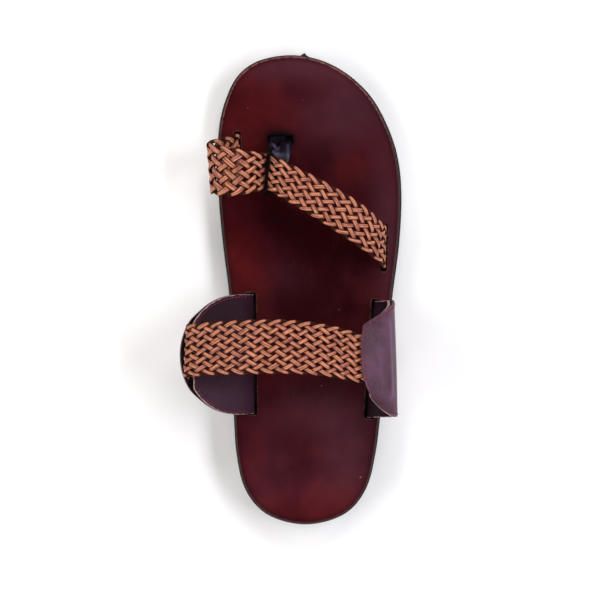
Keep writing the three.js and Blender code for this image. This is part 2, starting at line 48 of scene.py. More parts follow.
# %% [markdown]
# Most outlines of a shoe are given by a few measured stations. Two kinds of curve join them.
# A table of values along one direction is joined by cubic pieces, and a path in space by a
# centripetal curve, which never loops between uneven points. Both are short sums of arrays,
# so a whole surface is evaluated at once.

# %% Curves through tables
def smoothstep(value, low, high):
    """Zero below low, one above high, and 3t^2 - 2t^3 between them."""
    share = np.clip((value - low) / (high - low), 0, 1)
    return share * share * (3 - 2 * share)


def smooth_table(at, places, values):
    """Cubic pieces through a table. The slope at each row is the mean of the two chords there."""
    places, values = np.asarray(places, float), np.asarray(values, float)
    chords = np.diff(values) / np.diff(places)
    slopes = np.concatenate([chords[:1], (chords[1:] + chords[:-1]) / 2, chords[-1:]])
    row = np.clip(np.searchsorted(places, at, "right") - 1, 0, len(places) - 2)
    run = places[row + 1] - places[row]
    t = np.clip((at - places[row]) / run, 0, 1)
    start = (1 + 2 * t) * (1 - t) ** 2 * values[row] + t * (1 - t) ** 2 * run * slopes[row]
    end = t * t * (3 - 2 * t) * values[row + 1] - t * t * (1 - t) * run * slopes[row + 1]
    return start + end


def path_through(points, t):
    """A centripetal curve: knots lie apart by the root of the distance between the points.
    t runs from 0 at the first point to 1 at the last, with equal shares for each piece."""
    points = np.asarray(points, float)
    padded = np.concatenate([2 * points[:1] - points[1:2], points, 2 * points[-1:] - points[-2:-1]])
    knots = np.sqrt(np.linalg.norm(np.diff(padded, axis=0), axis=1))
    spot = np.clip(np.asarray(t, float), 0, 1) * (len(points) - 1)
    piece = np.minimum(spot.astype(int), len(points) - 2)
    share = (spot - piece)[..., None]
    p0, p1, p2, p3 = (padded[piece + step] for step in range(4))
    d0, d1, d2 = (knots[piece + step][..., None] for step in range(3))
    leave = ((p1 - p0) / d0 - (p2 - p0) / (d0 + d1) + (p2 - p1) / d1) * d1
    arrive = ((p2 - p1) / d1 - (p3 - p1) / (d1 + d2) + (p3 - p2) / d2) * d1
    chord = p2 - p1
    return p1 + share * (leave + share * (3 * chord - 2 * leave - arrive
                                          + share * (leave + arrive - 2 * chord)))


def unit(vectors):
    """Each vector divided by its own length."""
    return vectors / np.maximum(np.linalg.norm(vectors, axis=-1, keepdims=True), 1e-12)


print("curve through three points, half way:", path_through([[0, 0, 0], [1, 1, 0], [3, 1, 0]], 0.5))

# %% [markdown]
# A surface here is a grid of points, rows by columns. Its faces follow from the grid's size alone.
# The seams where a grid meets itself are welded, and the faces are turned outward afterwards.

# %% Grids into meshes
def grid_faces(rows, columns, close_rows=False, close_columns=False):
    """Four corners for each cell of a grid whose points are numbered row by row."""
    row = np.arange(rows if close_rows else rows - 1)[:, None]
    column = np.arange(columns if close_columns else columns - 1)[None, :]
    next_row, next_column = (row + 1) % rows, (column + 1) % columns
    corners = [row * columns + column, row * columns + next_column,
               next_row * columns + next_column, next_row * columns + column]
    return np.stack(corners, axis=-1).reshape(-1, 4)


def make_piece(name, points, faces, uv=None, values=None, weld=1e-7, sharp_above=None):
    """A mesh object from points in millimetres. uv and values hold one entry for each point."""
    points = np.asarray(points, float).reshape(-1, 3)
    mesh = bpy.data.meshes.new(name)
    mesh.from_pydata((points * MM).tolist(), [], [list(face) for face in faces])
    if uv is not None:
        layer = mesh.uv_layers.new(name="flat")
        corners = np.empty(len(mesh.loops), int)
        mesh.loops.foreach_get("vertex_index", corners)
        layer.data.foreach_set("uv", np.asarray(uv, np.float32).reshape(-1, 2)[corners].ravel())
    for key, value in (values or {}).items():
        attribute = mesh.attributes.new(key, "FLOAT", "POINT")
        attribute.data.foreach_set("value", np.asarray(value, np.float32).ravel())
    work = bmesh.new()
    work.from_mesh(mesh)
    bmesh.ops.remove_doubles(work, verts=work.verts, dist=weld)
    bmesh.ops.dissolve_degenerate(work, edges=work.edges, dist=weld)
    bmesh.ops.recalc_face_normals(work, faces=work.faces)
    work.to_mesh(mesh)
    work.free()
    mesh.shade_smooth()
    if sharp_above is not None:
        mesh.set_sharp_from_angle(angle=np.radians(sharp_above))
    piece = bpy.data.objects.new(name, mesh)
    bpy.context.scene.collection.objects.link(piece)
    print(f"{name}: {len(mesh.vertices)} points, {len(mesh.polygons)} faces")
    return piece


def set_value(piece, key, value):
    """Stores one number for each point of a finished mesh, for its material to read."""
    attribute = piece.data.attributes.new(key, "FLOAT", "POINT")
    attribute.data.foreach_set("value", np.asarray(value, np.float32))


def points_of(piece):
    """The points of a mesh in millimetres."""
    flat = np.empty(len(piece.data.vertices) * 3)
    piece.data.vertices.foreach_get("co", flat)
    return flat.reshape(-1, 3) / MM


# %% [markdown]
# The sole is drawn by its half breadths on either side of a spine, measured from the back of the
# heel. The breadths swell from the tips like a circle, so their squares are what is smoothed.
# A second set of sizes gives its profile: a heel pad, a step up to the arch, the forefoot and
# the toe, which springs up from the floor.

# %% The outline and profile of the sole
SOLE_LENGTH = 270
HEEL_CENTRE = 41.5
HALF_BREADTH = 48
HEEL_PAD = 72
BREAST_RUN = 7
ARCH_RISE = 5
ARCH_END = 146
SPRING_START = 196
TREAD_SPRING = 7
HEEL_SEAT = 13.5
BALL_SEAT = 6
SEAT_FALL_START = 58
SEAT_FALL_END = 168
SEAT_SPRING = 6.2
TOE_SWING = 8
SEAM_GAP = 0.3
# Columns: station, medial half breadth, lateral half breadth.
SOLE_OUTLINE = np.array([
    [0, 0, 0], [7, 24, 24], [20.5, 34.8, 34.8], [40, 39.6, 40.1], [62, 41.2, 43],
    [100, 42.3, 47], [131, 44, 50.3], [163, 48, 54.4], [191, 50.4, 55.6], [214, 50.5, 53.4],
    [232.6, 47.5, 48.1], [246.4, 41.8, 41.7], [257.9, 33.8, 31.8], [266, 21.8, 19.2], [270, 0, 0],
])


def beyond_ball(station):
    """Zero up to the ball of the foot, growing to one at the toe."""
    return np.maximum(0, station - SPRING_START) / (SOLE_LENGTH - SPRING_START)


def outline(station, lateral, inset):
    """Plan of the sole's edge, drawn in by inset: breadths shrink about the spine, length about
    the middle. At an inset of HALF_BREADTH both sides meet on the spine."""
    stations, medial_half, lateral_half = SOLE_OUTLINE.T
    squares = np.where(lateral, smooth_table(station, stations, lateral_half ** 2),
                       smooth_table(station, stations, medial_half ** 2))
    breadth = np.sqrt(np.maximum(0, squares)) * (1 - inset / HALF_BREADTH)
    spine = -TOE_SWING * beyond_ball(station) ** 2
    middle = SOLE_LENGTH / 2
    y = (station - middle) * (1 - inset / middle) + middle - HEEL_CENTRE
    return spine + np.where(lateral, breadth, -breadth), y


def ground(station):
    """Height of the tread: level heel pad, a step up, the arch, the forefoot, then the spring."""
    step = smoothstep(station, HEEL_PAD, HEEL_PAD + BREAST_RUN)
    fall = 1 - smoothstep(station, HEEL_PAD + BREAST_RUN, ARCH_END)
    return ARCH_RISE * step * fall + TREAD_SPRING * beyond_ball(station) ** 2


def seat(station):
    """Height of the outsole's upper side: high under the heel, low under the ball, and sprung."""
    fall = smoothstep(station, SEAT_FALL_START, SEAT_FALL_END)
    return HEEL_SEAT + (BALL_SEAT - HEEL_SEAT) * fall + SEAT_SPRING * beyond_ball(station) ** 2


def seat_under(y):
    """Height of the outsole's upper side below a point of the plan."""
    return seat(y + HEEL_CENTRE)


LOOP_COUNT = 400
loop_angle = np.linspace(0, 2 * np.pi, LOOP_COUNT, endpoint=False)
loop_station = SOLE_LENGTH * (1 - np.cos(loop_angle)) / 2
loop_lateral = loop_angle < np.pi
print("sole breadth at the ball:", np.ptp(outline(loop_station, loop_lateral, 0)[0]).round(1), "mm")

# %% [markdown]
# The outsole is one moulding of black rubber. Its surface is a stack of loops round the outline:
# they start on the spine under the foot, spread over the tread, turn up round its edge, climb the
# side and close over the top. A small moulding nib stands out at the toe.

# %% Outsole
TREAD_EDGE = 1.6
TOP_EDGE = 0.4
TIP_START = 2
TIP_FULL = 0.6
NIB = {"x": -0.6, "half_width": 2.4, "reach": 1.9, "height": 2.4}


def sole_loops(insets, heights):
    """One loop of the outline for each inset. heights gives each loop's z from its stations."""
    x, y = outline(loop_station[None, :], loop_lateral[None, :], np.asarray(insets)[:, None])
    return np.stack([x, y, heights(y + HEEL_CENTRE)], axis=-1)


def make_outsole():
    """Loops in four groups: tread, round lower edge, side with a small round top edge, upper side."""
    turn = np.linspace(0, np.pi / 2, 6)
    tread = np.linspace(HALF_BREADTH, TREAD_EDGE, 14)
    low_edge = TREAD_EDGE * (1 - np.sin(turn[1:]))
    rise = np.linspace(0, 1, 5)[1:]
    top_edge = TOP_EDGE * (1 - np.cos(turn[1:]))
    upper = np.linspace(TOP_EDGE, HALF_BREADTH, 5)[1:]
    insets = np.concatenate([tread, low_edge, 0 * rise, top_edge, upper])
    lower = np.concatenate([0 * tread, TREAD_EDGE * (1 - np.cos(turn[1:]))])
    raised = np.concatenate([0 * rise, TOP_EDGE * np.sin(turn[1:]), 0 * upper + TOP_EDGE])

    def heights(station):
        bottom = ground(station[:len(lower)]) + lower[:, None]
        shoulder = ground(station[len(lower):]) + TREAD_EDGE
        side_top = seat(station[len(lower):]) - TOP_EDGE
        climb = np.concatenate([rise, np.ones(len(raised) - len(rise))])[:, None]
        return np.concatenate([bottom, shoulder + (side_top - shoulder) * climb + raised[:, None]])

    points = sole_loops(insets, heights)
    peak = np.clip(1 - np.abs(points[..., 0] - NIB["x"]) / NIB["half_width"], 0, 1)
    tip = points[..., 1].max()
    at_tip = smoothstep(points[..., 1], tip - TIP_START, tip - TIP_FULL)
    nib_foot = seat(SOLE_LENGTH) - NIB["height"]
    high = smoothstep(points[..., 2], nib_foot - TIP_FULL, nib_foot + TIP_FULL)
    points[..., 1] += NIB["reach"] * smoothstep(peak, 0, 1) * at_tip * high
    faces = grid_faces(len(insets), LOOP_COUNT, close_columns=True)
    return make_piece("outsole_rubber", points, faces, weld=1e-6, sharp_above=50)


outsole = make_outsole()

# %% [markdown]
# The footbed is a thick sole-leather board, dyed and burnished, with a rounded polished edge.
# Five slots are punched through it for the ears, the toe strap and the thong. The board is again
# a stack of loops. Each punch is a long narrow prism that flares at the top by a quarter round,
# following the board's own height, so that cutting it out leaves a softly turned rim.

# %% Footbed
FOOTBED_THICKNESS = 4.5
FOOTBED_INSET = 1
FOOTBED_ROUNDING = 1.1
UNDER_EDGE = 0.4
PUNCH_DOWN = 9
PUNCH_UP = 3
SLOT_FLARE = 0.25
SLOT_CORNER = 0.6
# Each slot from its back end to its front end, and its width.
SLOTS = {
    "ear_medial": {"back": (-30.8, 22.1), "front": (-31.6, 91.3), "width": 5.6},
    "ear_lateral": {"back": (36.6, 19.9), "front": (41.3, 87.5), "width": 5.6},
    "toe_medial": {"back": (-38.8, 156.4), "front": (-39.4, 184.2), "width": 3.2},
    "toe_lateral": {"back": (44.9, 104.3), "front": (45.5, 131), "width": 3.2},
    "thong": {"back": (-21.2, 180), "front": (-7.2, 180), "width": 4.4},
}


def slot_axes(slot):
    """Middle of a slot in plan, its way ahead, its way aside, and its half length and half width."""
    back, front = np.array(slot["back"], float), np.array(slot["front"], float)
    run = front - back
    ahead = run / np.hypot(*run)
    aside = np.array([ahead[1], -ahead[0]])
    return (back + front) / 2, ahead, aside, np.array([np.hypot(*run), slot["width"]]) / 2


def footbed_top(y):
    """Height of the footbed's upper side below or above a point of the plan."""
    return seat_under(y) + SEAM_GAP + FOOTBED_THICKNESS


def make_board():
    """Loops from the spine underneath, out to the edge, up, round, and back in over the top."""
    turn = np.linspace(0, np.pi / 2, 7)
    under = np.linspace(HALF_BREADTH, FOOTBED_INSET + UNDER_EDGE, 4)
    side = np.full(4, float(FOOTBED_INSET))
    edge = FOOTBED_INSET + FOOTBED_ROUNDING * (1 - np.cos(turn[1:]))
    top = np.linspace(FOOTBED_INSET + FOOTBED_ROUNDING, HALF_BREADTH, 26)[1:]
    insets = np.concatenate([under, side, edge, top])
    shoulder = FOOTBED_THICKNESS - FOOTBED_ROUNDING
    lifts = np.concatenate([0 * under, np.linspace(UNDER_EDGE, shoulder, len(side)),
                            shoulder + FOOTBED_ROUNDING * np.sin(turn[1:]), 0 * top + FOOTBED_THICKNESS])
    points = sole_loops(insets, lambda station: seat(station) + SEAM_GAP + lifts[:, None])
    return make_piece("footbed_board", points, grid_faces(len(insets), LOOP_COUNT, close_columns=True),
                      weld=1e-6)


def slot_distance(x, y, slot):
    """Distance in plan from a slot's wall, negative inside, for a rectangle with round corners."""
    middle, ahead, aside, half = slot_axes(slot)
    from_middle = np.stack([x, y], axis=-1) - middle
    local = np.abs(np.stack([from_middle @ ahead, from_middle @ aside], axis=-1))
    past = local - (half - SLOT_CORNER)
    outside = np.linalg.norm(np.maximum(past, 0), axis=-1)
    return outside + np.minimum(past.max(axis=-1), 0) - SLOT_CORNER


def make_punch(name, slot):
    """Rings of a rectangle with round corners: straight up through the board, then a flare."""
    middle, ahead, aside, half = slot_axes(slot)
    reach, breadth = half - SLOT_CORNER
    quarter = np.linspace(0, np.pi / 2, 6)
    straight = np.linspace(-reach, reach, 26)[1:-1]
    angle = np.concatenate([quarter, 0 * straight + np.pi / 2, quarter + np.pi / 2,
                            quarter + np.pi, 0 * straight + np.pi * 1.5, quarter + np.pi * 1.5])
    centre_along = np.concatenate([0 * quarter + reach, -straight, 0 * quarter - reach,
                                   0 * quarter - reach, straight, 0 * quarter + reach])
    centre_aside = np.where(np.arange(len(angle)) < len(angle) // 2, breadth, -breadth)
    turn = np.linspace(0, np.pi / 2, 6)
    flare = np.concatenate([[0, 0], SLOT_FLARE * (1 - np.cos(turn[1:])), [SLOT_FLARE]])
    depth = np.concatenate([[PUNCH_DOWN], SLOT_FLARE * (1 - np.sin(turn)), [-PUNCH_UP]])
    radius = SLOT_CORNER + flare[:, None]
    plan = (middle + (centre_along + np.cos(angle) * radius)[..., None] * ahead
            + (centre_aside + np.sin(angle) * radius)[..., None] * aside)
    points = np.concatenate([plan, (footbed_top(plan[..., 1]) - depth[:, None])[..., None]], axis=-1)
    rings, count = points.shape[:2]
    faces = grid_faces(rings, count, close_columns=True).tolist()
    faces += [list(range(count)), list(range((rings - 1) * count, rings * count))]
    return make_piece(name, points, faces)


def cut_away(piece, cutters):
    """Takes each cutter out of the piece, keeps the result as its mesh, and deletes the cutters."""
    for cutter in cutters:
        change = piece.modifiers.new(cutter.name, "BOOLEAN")
        change.operation, change.solver, change.object = "DIFFERENCE", "EXACT", cutter
    shown = piece.evaluated_get(bpy.context.evaluated_depsgraph_get())
    cut = bpy.data.meshes.new_from_object(shown)
    piece.modifiers.clear()
    old, piece.data = piece.data, cut
    bpy.data.meshes.remove(old)
    for cutter in cutters:
        bpy.data.meshes.remove(cutter.data)
    print(f"{piece.name}: {len(cut.polygons)} faces after {len(cutters)} cuts")


footbed = make_board()
cut_away(footbed, [make_punch("punch_" + name, slot) for name, slot in SLOTS.items()])
footbed.data.shade_smooth()
footbed.data.set_sharp_from_angle(angle=np.radians(42))
footbed.modifiers.new("even_shading", "WEIGHTED_NORMAL").keep_sharp = True

# %% [markdown]
# The burnish of the board isn't even: wax and hand polish leave some places redder and others
# nearly black. The dark spots beside the instep strap are painted shade, and two more sets of
# spots are painted light and shade: a cool reflection of the lamps, and a shadow round the thong.
# All are worked out from the plan as sums of soft round spots and stored on the points, together
# with the distance to the rim and to the nearest slot.

# %% Burnish, painted light and shade, and edges of the footbed
# Columns: x, y, radius across, radius along, strength. Positive is redder, negative is darker.
# The dark spots at y 36 and 84, beside the instep strap, are painted shade.
BURNISH_AND_SHADE_SPOTS = np.array([
    [-20, 205, 26, 22, 0.2], [-34, 172, 16, 20, 0.5], [14, 216, 22, 14, 0.2], [36, 170, 14, 18, 0.6],
    [14, 186, 10, 14, 0.1], [26, 198, 20, 14, -0.8], [-4, 120, 26, 34, -0.9], [30, 115, 18, 26, -0.5],
    [-36, 118, 12, 26, 0.9], [-30, 98, 12, 12, 0.5], [0, 84, 22, 10, -0.8], [-26, 14, 9, 18, 0.5],
    [4, -26, 30, 12, 0.9], [4, 2, 14, 8, 0.15], [6, 36, 24, 10, -1.3], [30, 0, 12, 24, -0.3],
    [-30, -6, 9, 14, 0.7], [8, 174, 12, 10, -0.6],
])
# The same columns for places with a painted cool reflection of the lamps.
REFLECTION_SPOTS = np.array([
    [26, 196, 26, 20, 1.0], [0, 222, 34, 9, 1.3], [46, 150, 10, 30, 0.8], [24, 8, 16, 26, 1.15],
    [2, 22, 26, 14, 0.6], [-24, -2, 16, 26, 0.5], [2, -20, 34, 14, 0.4], [48, 112, 8, 30, 0.6],
    [-10, 100, 10, 10, 0.3],
])
# And for the painted shadow round the thong, where it goes through the board.
THONG_SHADOW_SPOTS = np.array([[-17, 182, 7.5, 4.5, 1.0], [-11, 181, 6, 4, 0.7]])
# Slots whose rounded lip gets a painted highlight line.
HIGHLIT_LIP_SLOTS = ("ear_medial", "ear_lateral", "toe_medial", "toe_lateral")


def sum_of_spots(points, spots):
    """Each spot adds its strength times exp(-(dx/rx)^2 - (dy/ry)^2)."""
    x, y, across, along, strength = spots.T
    steps = ((points[:, :1] - x) / across) ** 2 + ((points[:, 1:2] - y) / along) ** 2
    return np.exp(-steps) @ strength


def streak_at(points, x0, y0, x1, y1, breadth, strength):
    """strength exp(-(d/breadth)^2), for the distance d in plan from a line between two points."""
    start, run = np.array([x0, y0]), np.array([x1 - x0, y1 - y0])
    past = points[..., :2] - start
    share = np.clip(past @ run / (run @ run), 0, 1)
    away = np.linalg.norm(past - share[..., None] * run, axis=-1)
    return strength * np.exp(-(away / breadth) ** 2)


def rim_distance(points, inset):
    """Distance in plan from the nearest point of the outline drawn in by inset."""
    x, y = outline(loop_station, loop_lateral, inset)
    return np.sqrt(((points[:, None, 0] - x) ** 2 + (points[:, None, 1] - y) ** 2).min(axis=1))


bed_points = points_of(footbed)
set_value(footbed, "burnish_and_shade", sum_of_spots(bed_points, BURNISH_AND_SHADE_SPOTS))
set_value(footbed, "painted_reflection", sum_of_spots(bed_points, REFLECTION_SPOTS))
set_value(footbed, "rim", rim_distance(bed_points, FOOTBED_INSET))
set_value(footbed, "thong_shadow", sum_of_spots(bed_points, THONG_SHADOW_SPOTS))
to_slots = {name: slot_distance(bed_points[:, 0], bed_points[:, 1], slot) for name, slot in SLOTS.items()}
set_value(footbed, "slot_wall", np.min(list(to_slots.values()), axis=0))
set_value(footbed, "lip_highlight", np.min([to_slots[name] for name in HIGHLIT_LIP_SLOTS], axis=0))
print("footbed burnish from", bed_points.shape[0], "points")

# %% [markdown]
# Each ear is two plies of leather, a lining and an outer, cut flat, set in a slot and bent. So an
# ear is drawn flat first: a straight foot, two short flanks and a round edge. A bend table then
# says how far the leather leans from level at each distance from its foot, and adding up those
# directions carries every flat point to its place. The plies are closed like a thin pillow: near
# the cut edge the two faces draw together along a round nose.

# %% Bending an ear
PLY = 1.6
EAR_TAIL = 4.2
LINING_SHORT = 0.8
CORNER_SHORT = 2
NOSE_SHORT = 6
BULGE_START = 20
BULGE_FULL = 15
BULGE_FLAT = 0.54
BULGE_END = 0.76
STRAND_THICKNESS = 1.25
BULGE_ROOM = 0.5
# Painted light and shade on the ears in plan, with the same columns as the burnish spots:
# positive is lighter, negative is darker. They give painted reflections and shade on the linings
# and a painted highlight band down the lateral outer ply.
EAR_LIGHT_AND_SHADE_SPOTS = np.array([
    [-46, 31, 24, 13, 0.4], [-46, 84, 24, 13, -0.5], [41, 25, 12, 14, -0.9], [43, 86, 12, 7, -0.4],
    [41.8, 51, 1.5, 15, 0.55], [46, 35, 7, 8, 0.4], [40, 70, 6, 8, -0.2],
])
# Columns: distance along the leather, lean of the front flank, lean of the back flank, in degrees.
MEDIAL_BENDS = np.array([
    [0, 90, 90], [4.5, 88, 88], [10, 52, 52], [16, 34, 34], [26, 29, 29], [52, 26, 26],
])
LATERAL_BENDS = np.array([
    [0, 90, 90], [4.5, 88, 84], [9, 66, 38], [17, 62, 37], [23, 90, 74], [31, 128, 128],
    [38, 154, 158], [52, 160, 164],
])
MEDIAL_EAR = {"slot": "ear_medial", "side": -1, "sweep": 0, "depth": 47, "flank": 12,
              "fullness": (2.05, 2.05), "corner": None, "seam": 0.55, "bends": MEDIAL_BENDS}
LATERAL_EAR = {"slot": "ear_lateral", "side": 1, "sweep": 8, "depth": 46, "flank": 18,
               "fullness": (3.4, 2), "corner": 69, "seam": 0.75, "bends": LATERAL_BENDS}
BEND_STEPS = 40


def slot_frame(ear):
    """Middle of the ear's slot, its direction to the toe, the ear's outward way, and its half length."""
    middle, ahead, aside, (half_length, _) = slot_axes(SLOTS[ear["slot"]])
    turn = np.radians(ear["sweep"] * ear["side"])
    square = aside * ear["side"]
    out = np.array([square[0] * np.cos(turn) - square[1] * np.sin(turn),
                    square[0] * np.sin(turn) + square[1] * np.cos(turn)])
    return middle, ahead, out, half_length - 2 * SEAM_GAP


def bend_ear(ear, p, along, lift):
    """Carries flat points to their place. p is -1 at the back flank and 1 at the front; along is
    the distance from the foot. The leather climbs by the sum of sin(lean) and moves outward by the
    sum of cos(lean); lift goes outward, square to the leather."""
    middle, ahead, out, half = slot_frame(ear)
    p, along, lift = (np.asarray(value, float) for value in np.broadcast_arrays(p, along, lift))
    places, front, back = ear["bends"].T
    share = (np.arange(BEND_STEPS) + 0.5) / BEND_STEPS
    travelled = along[..., None] * share
    forward = (p[..., None] + 1) / 2
    lean = np.radians(smooth_table(travelled, places, back) * (1 - forward)
                      + smooth_table(travelled, places, front) * forward)
    outward = np.cos(lean).mean(axis=-1) * along + np.sin(lean[..., -1]) * lift
    up = np.sin(lean).mean(axis=-1) * along - np.cos(lean[..., -1]) * lift
    foot = middle + (p * half)[..., None] * ahead
    plan = foot + outward[..., None] * out
    return np.concatenate([plan, (seat_under(foot[..., 1]) + 2 * SEAM_GAP + up)[..., None]], axis=-1)


def braid_bulge(ear, p, along):
    """Height by which the outer ply rises over the end of the braid that is sewn in under it."""
    reach = EAR_TAIL + ear["depth"]
    lengthwise = smoothstep(along, reach - BULGE_START, reach - BULGE_FULL)
    across = 1 - smoothstep(np.abs(p), BULGE_FLAT, BULGE_END)
    return (2 * STRAND_THICKNESS + BULGE_ROOM) * lengthwise * across


print("half length of the ears' feet:", [round(slot_frame(e)[3], 1) for e in (MEDIAL_EAR, LATERAL_EAR)])

# %% Cutting the plies
FLANK_POINTS = 14
ROUND_POINTS = 132
RIM_ROWS = 6
FILL_ROWS = 40
EDGE_ROUND = 0.55
FLANK_CROWDING = 0.3


def flat_edge(ear, short, nose):
    """The cut edge in the flat, from the back end of the foot round to the front end. The round
    part is a superellipse: height (1 - |p|^f)^(1/f), with its own f on the front and back half,
    cut straight at the front corner of the lateral ear and where a nose is trimmed."""
    half = slot_frame(ear)[3]
    share = np.linspace(-1, 1, ROUND_POINTS)
    p = np.sin(np.pi / 2 * share * (1 + FLANK_CROWDING * (1 - share ** 2)))
    power = np.where(p > 0, *ear["fullness"])
    swell = np.maximum(0, 1 - np.abs(p) ** power) ** (1 / power)
    top = EAR_TAIL + ear["flank"] + (ear["depth"] - short - ear["flank"]) * swell
    if ear["corner"]:
        top = np.minimum(top, EAR_TAIL + ear["flank"] + ear["corner"] * (1 - p) - CORNER_SHORT * short)
    top = np.minimum(top, EAR_TAIL + ear["depth"] - nose)
    climb = np.linspace(0, EAR_TAIL + ear["flank"], FLANK_POINTS)[:-1]
    x = np.concatenate([0 * climb - half, p * half, 0 * climb + half])
    along = np.concatenate([climb, top, climb[::-1]])
    return np.stack([x, along], axis=-1)


def edge_inward(edge):
    """Unit direction into the leather at each point of the cut edge: its tangent turned right."""
    tangent = unit(np.gradient(edge, axis=0))
    return np.stack([tangent[:, 1], -tangent[:, 0]], axis=-1)


def make_ply(name, ear, short, nose, middle_lift):
    """Two faces of one leather ply. Rows start on the cut edge, step in by d, then shrink towards
    the middle of the foot. Half the thickness is PLY/2 (1 - (1 - d/r)^3)^(1/3) for d below r."""
    half = slot_frame(ear)[3]
    edge = flat_edge(ear, short, nose)
    inward = edge_inward(edge)
    inward[0], inward[-1] = (1, 0), (-1, 0)
    step = EDGE_ROUND * (1 - np.cos(np.linspace(0, np.pi / 2, RIM_ROWS)))
    rim = edge + step[:, None, None] * inward
    fill = rim[-1] * (1 - np.linspace(0, 1, FILL_ROWS + 1)[1:, None, None])
    flat = np.concatenate([rim, fill])
    flat[..., 1] = np.maximum(flat[..., 1], 0)
    depth = np.concatenate([step, np.full(FILL_ROWS, EDGE_ROUND)])[:, None]
    thick = PLY / 2 * (1 - (1 - depth / EDGE_ROUND) ** 3) ** (1 / 3)
    p, along = flat[..., 0] / half, flat[..., 1]
    faces_out = bend_ear(ear, p, along, middle_lift(p, along) + thick)
    faces_in = bend_ear(ear, p, along, middle_lift(p, along) - thick)
    rows, columns = p.shape
    cells = grid_faces(rows, columns)
    foot = np.arange(rows - 1) * columns
    strips = [np.stack([foot + end, foot + end + columns, foot + end + columns + rows * columns,
                        foot + end + rows * columns], axis=-1) for end in (0, columns - 1)]
    faces = np.concatenate([cells, cells[:, ::-1] + rows * columns, *strips])
    to_edge = np.sqrt(((flat.reshape(-1, 1, 2) - edge[FLANK_POINTS // 2:-(FLANK_POINTS // 2)]) ** 2)
                      .sum(axis=-1).min(axis=1))
    flank = np.maximum(0, half - np.abs(flat[..., 0]).ravel())
    rim_value = np.minimum(to_edge, flank)
    points = np.stack([faces_out, faces_in])
    return make_piece(name, points, faces, uv=np.tile(flat.reshape(-1, 2) * MM, (2, 1)), values={
        "rim": np.tile(rim_value, 2), "outside": np.repeat([1.0, 0.0], len(rim_value)),
        "painted_light_and_shade": sum_of_spots(points.reshape(-1, 3), EAR_LIGHT_AND_SHADE_SPOTS)}, weld=1e-6, sharp_above=60)


def make_ear(name, ear):
    """Lining and outer ply of one ear. The outer lies over the seam and rises over the braid."""
    lining = make_ply(name + "_lining_leather", ear, LINING_SHORT, NOSE_SHORT, lambda p, along: -PLY / 2)
    outer = make_ply(name + "_outer_leather", ear, 0, 0,
                     lambda p, along: ear["seam"] + braid_bulge(ear, p, along) + PLY / 2)
    return lining, outer


medial_lining, medial_outer = make_ear("ear_medial", MEDIAL_EAR)
lateral_lining, lateral_outer = make_ear("ear_lateral", LATERAL_EAR)

# %% [markdown]
# Dark red thread holds the plies together along the round edge. A stitch is a short thread that
# dives into the leather at both ends, so each one is a small tube of a few rings that is thickest
# and highest in its middle. All the stitches of an ear are one array and one mesh.

# %% Stitches
STITCH_PITCH = 2.0
STITCH_LENGTH = 1.35
STITCH_INSET = 1.5
THREAD_RADIUS = 0.3
STITCH_RINGS = 7
STITCH_DIVE = 0.96
STITCH_RISE = 1.2
STITCH_SINK = 0.75
END_THICKNESS = 0.55
THREAD_SIDES = 8
BESIDE_BRAID = 0.5


def sweep_tubes(centre, normal, radius_across, radius_up, profile):
    """Carries a closed profile along many paths at once: aside is tangent x normal, up is
    aside x tangent. Paths are rows of points; the ends are closed by a face each."""
    tangent = unit(np.gradient(centre, axis=1))
    aside = unit(np.cross(tangent, normal))
    up = np.cross(aside, tangent)
    x, z = profile
    points = (centre[:, :, None] + (radius_across[..., None] * x)[..., None] * aside[:, :, None]
              + (radius_up[..., None] * z)[..., None] * up[:, :, None])
    paths, rings, sides = points.shape[:3]
    cells = grid_faces(rings, sides, close_columns=True)
    shift = (np.arange(paths) * rings * sides)[:, None, None]
    faces = (cells[None] + shift).reshape(-1, 4).tolist()
    caps = np.stack([np.arange(sides), np.arange(sides) + (rings - 1) * sides])
    faces += (caps[None] + shift).reshape(-1, sides).tolist()
    return points, faces


def make_stitches(name, ear, short, nose, lift, keep):
    """Stitches along the edge at a fixed inset. keep says at which p the seam runs."""
    half = slot_frame(ear)[3]
    edge = flat_edge(ear, short, nose)
    seam = edge + STITCH_INSET * edge_inward(edge)
    run = np.concatenate([[0], np.cumsum(np.linalg.norm(np.diff(seam, axis=0), axis=1))])
    low, high = run[FLANK_POINTS - 4], run[-FLANK_POINTS + 3]
    middles = np.arange(low, high, STITCH_PITCH)
    p_middle = np.interp(middles, run, seam[:, 0]) / half
    middles = middles[keep(p_middle)]
    share = np.linspace(-1, 1, STITCH_RINGS)
    spots = middles[:, None] + share * STITCH_LENGTH / 2
    p = np.interp(spots, run, seam[:, 0]) / half
    along = np.interp(spots, run, seam[:, 1])
    arch = np.sqrt(1 - share ** 2 * STITCH_DIVE)
    base, sign = lift(p, along)
    centre = bend_ear(ear, p, along, base + sign * THREAD_RADIUS * (STITCH_RISE * arch - STITCH_SINK))
    normal = unit(bend_ear(ear, p, along, base + sign) - bend_ear(ear, p, along, base))
    angle = np.linspace(0, 2 * np.pi, THREAD_SIDES, endpoint=False)
    radius = np.broadcast_to(THREAD_RADIUS * (END_THICKNESS + (1 - END_THICKNESS) * arch), p.shape)
    points, faces = sweep_tubes(centre, normal, radius, radius, (np.cos(angle), np.sin(angle)))
    return make_piece(name, points, faces)


def everywhere(p):
    """The seam runs all round."""
    return np.abs(p) < 2


def beside_braid(p):
    """The seam shows only on either side of the braid."""
    return np.abs(p) > BESIDE_BRAID


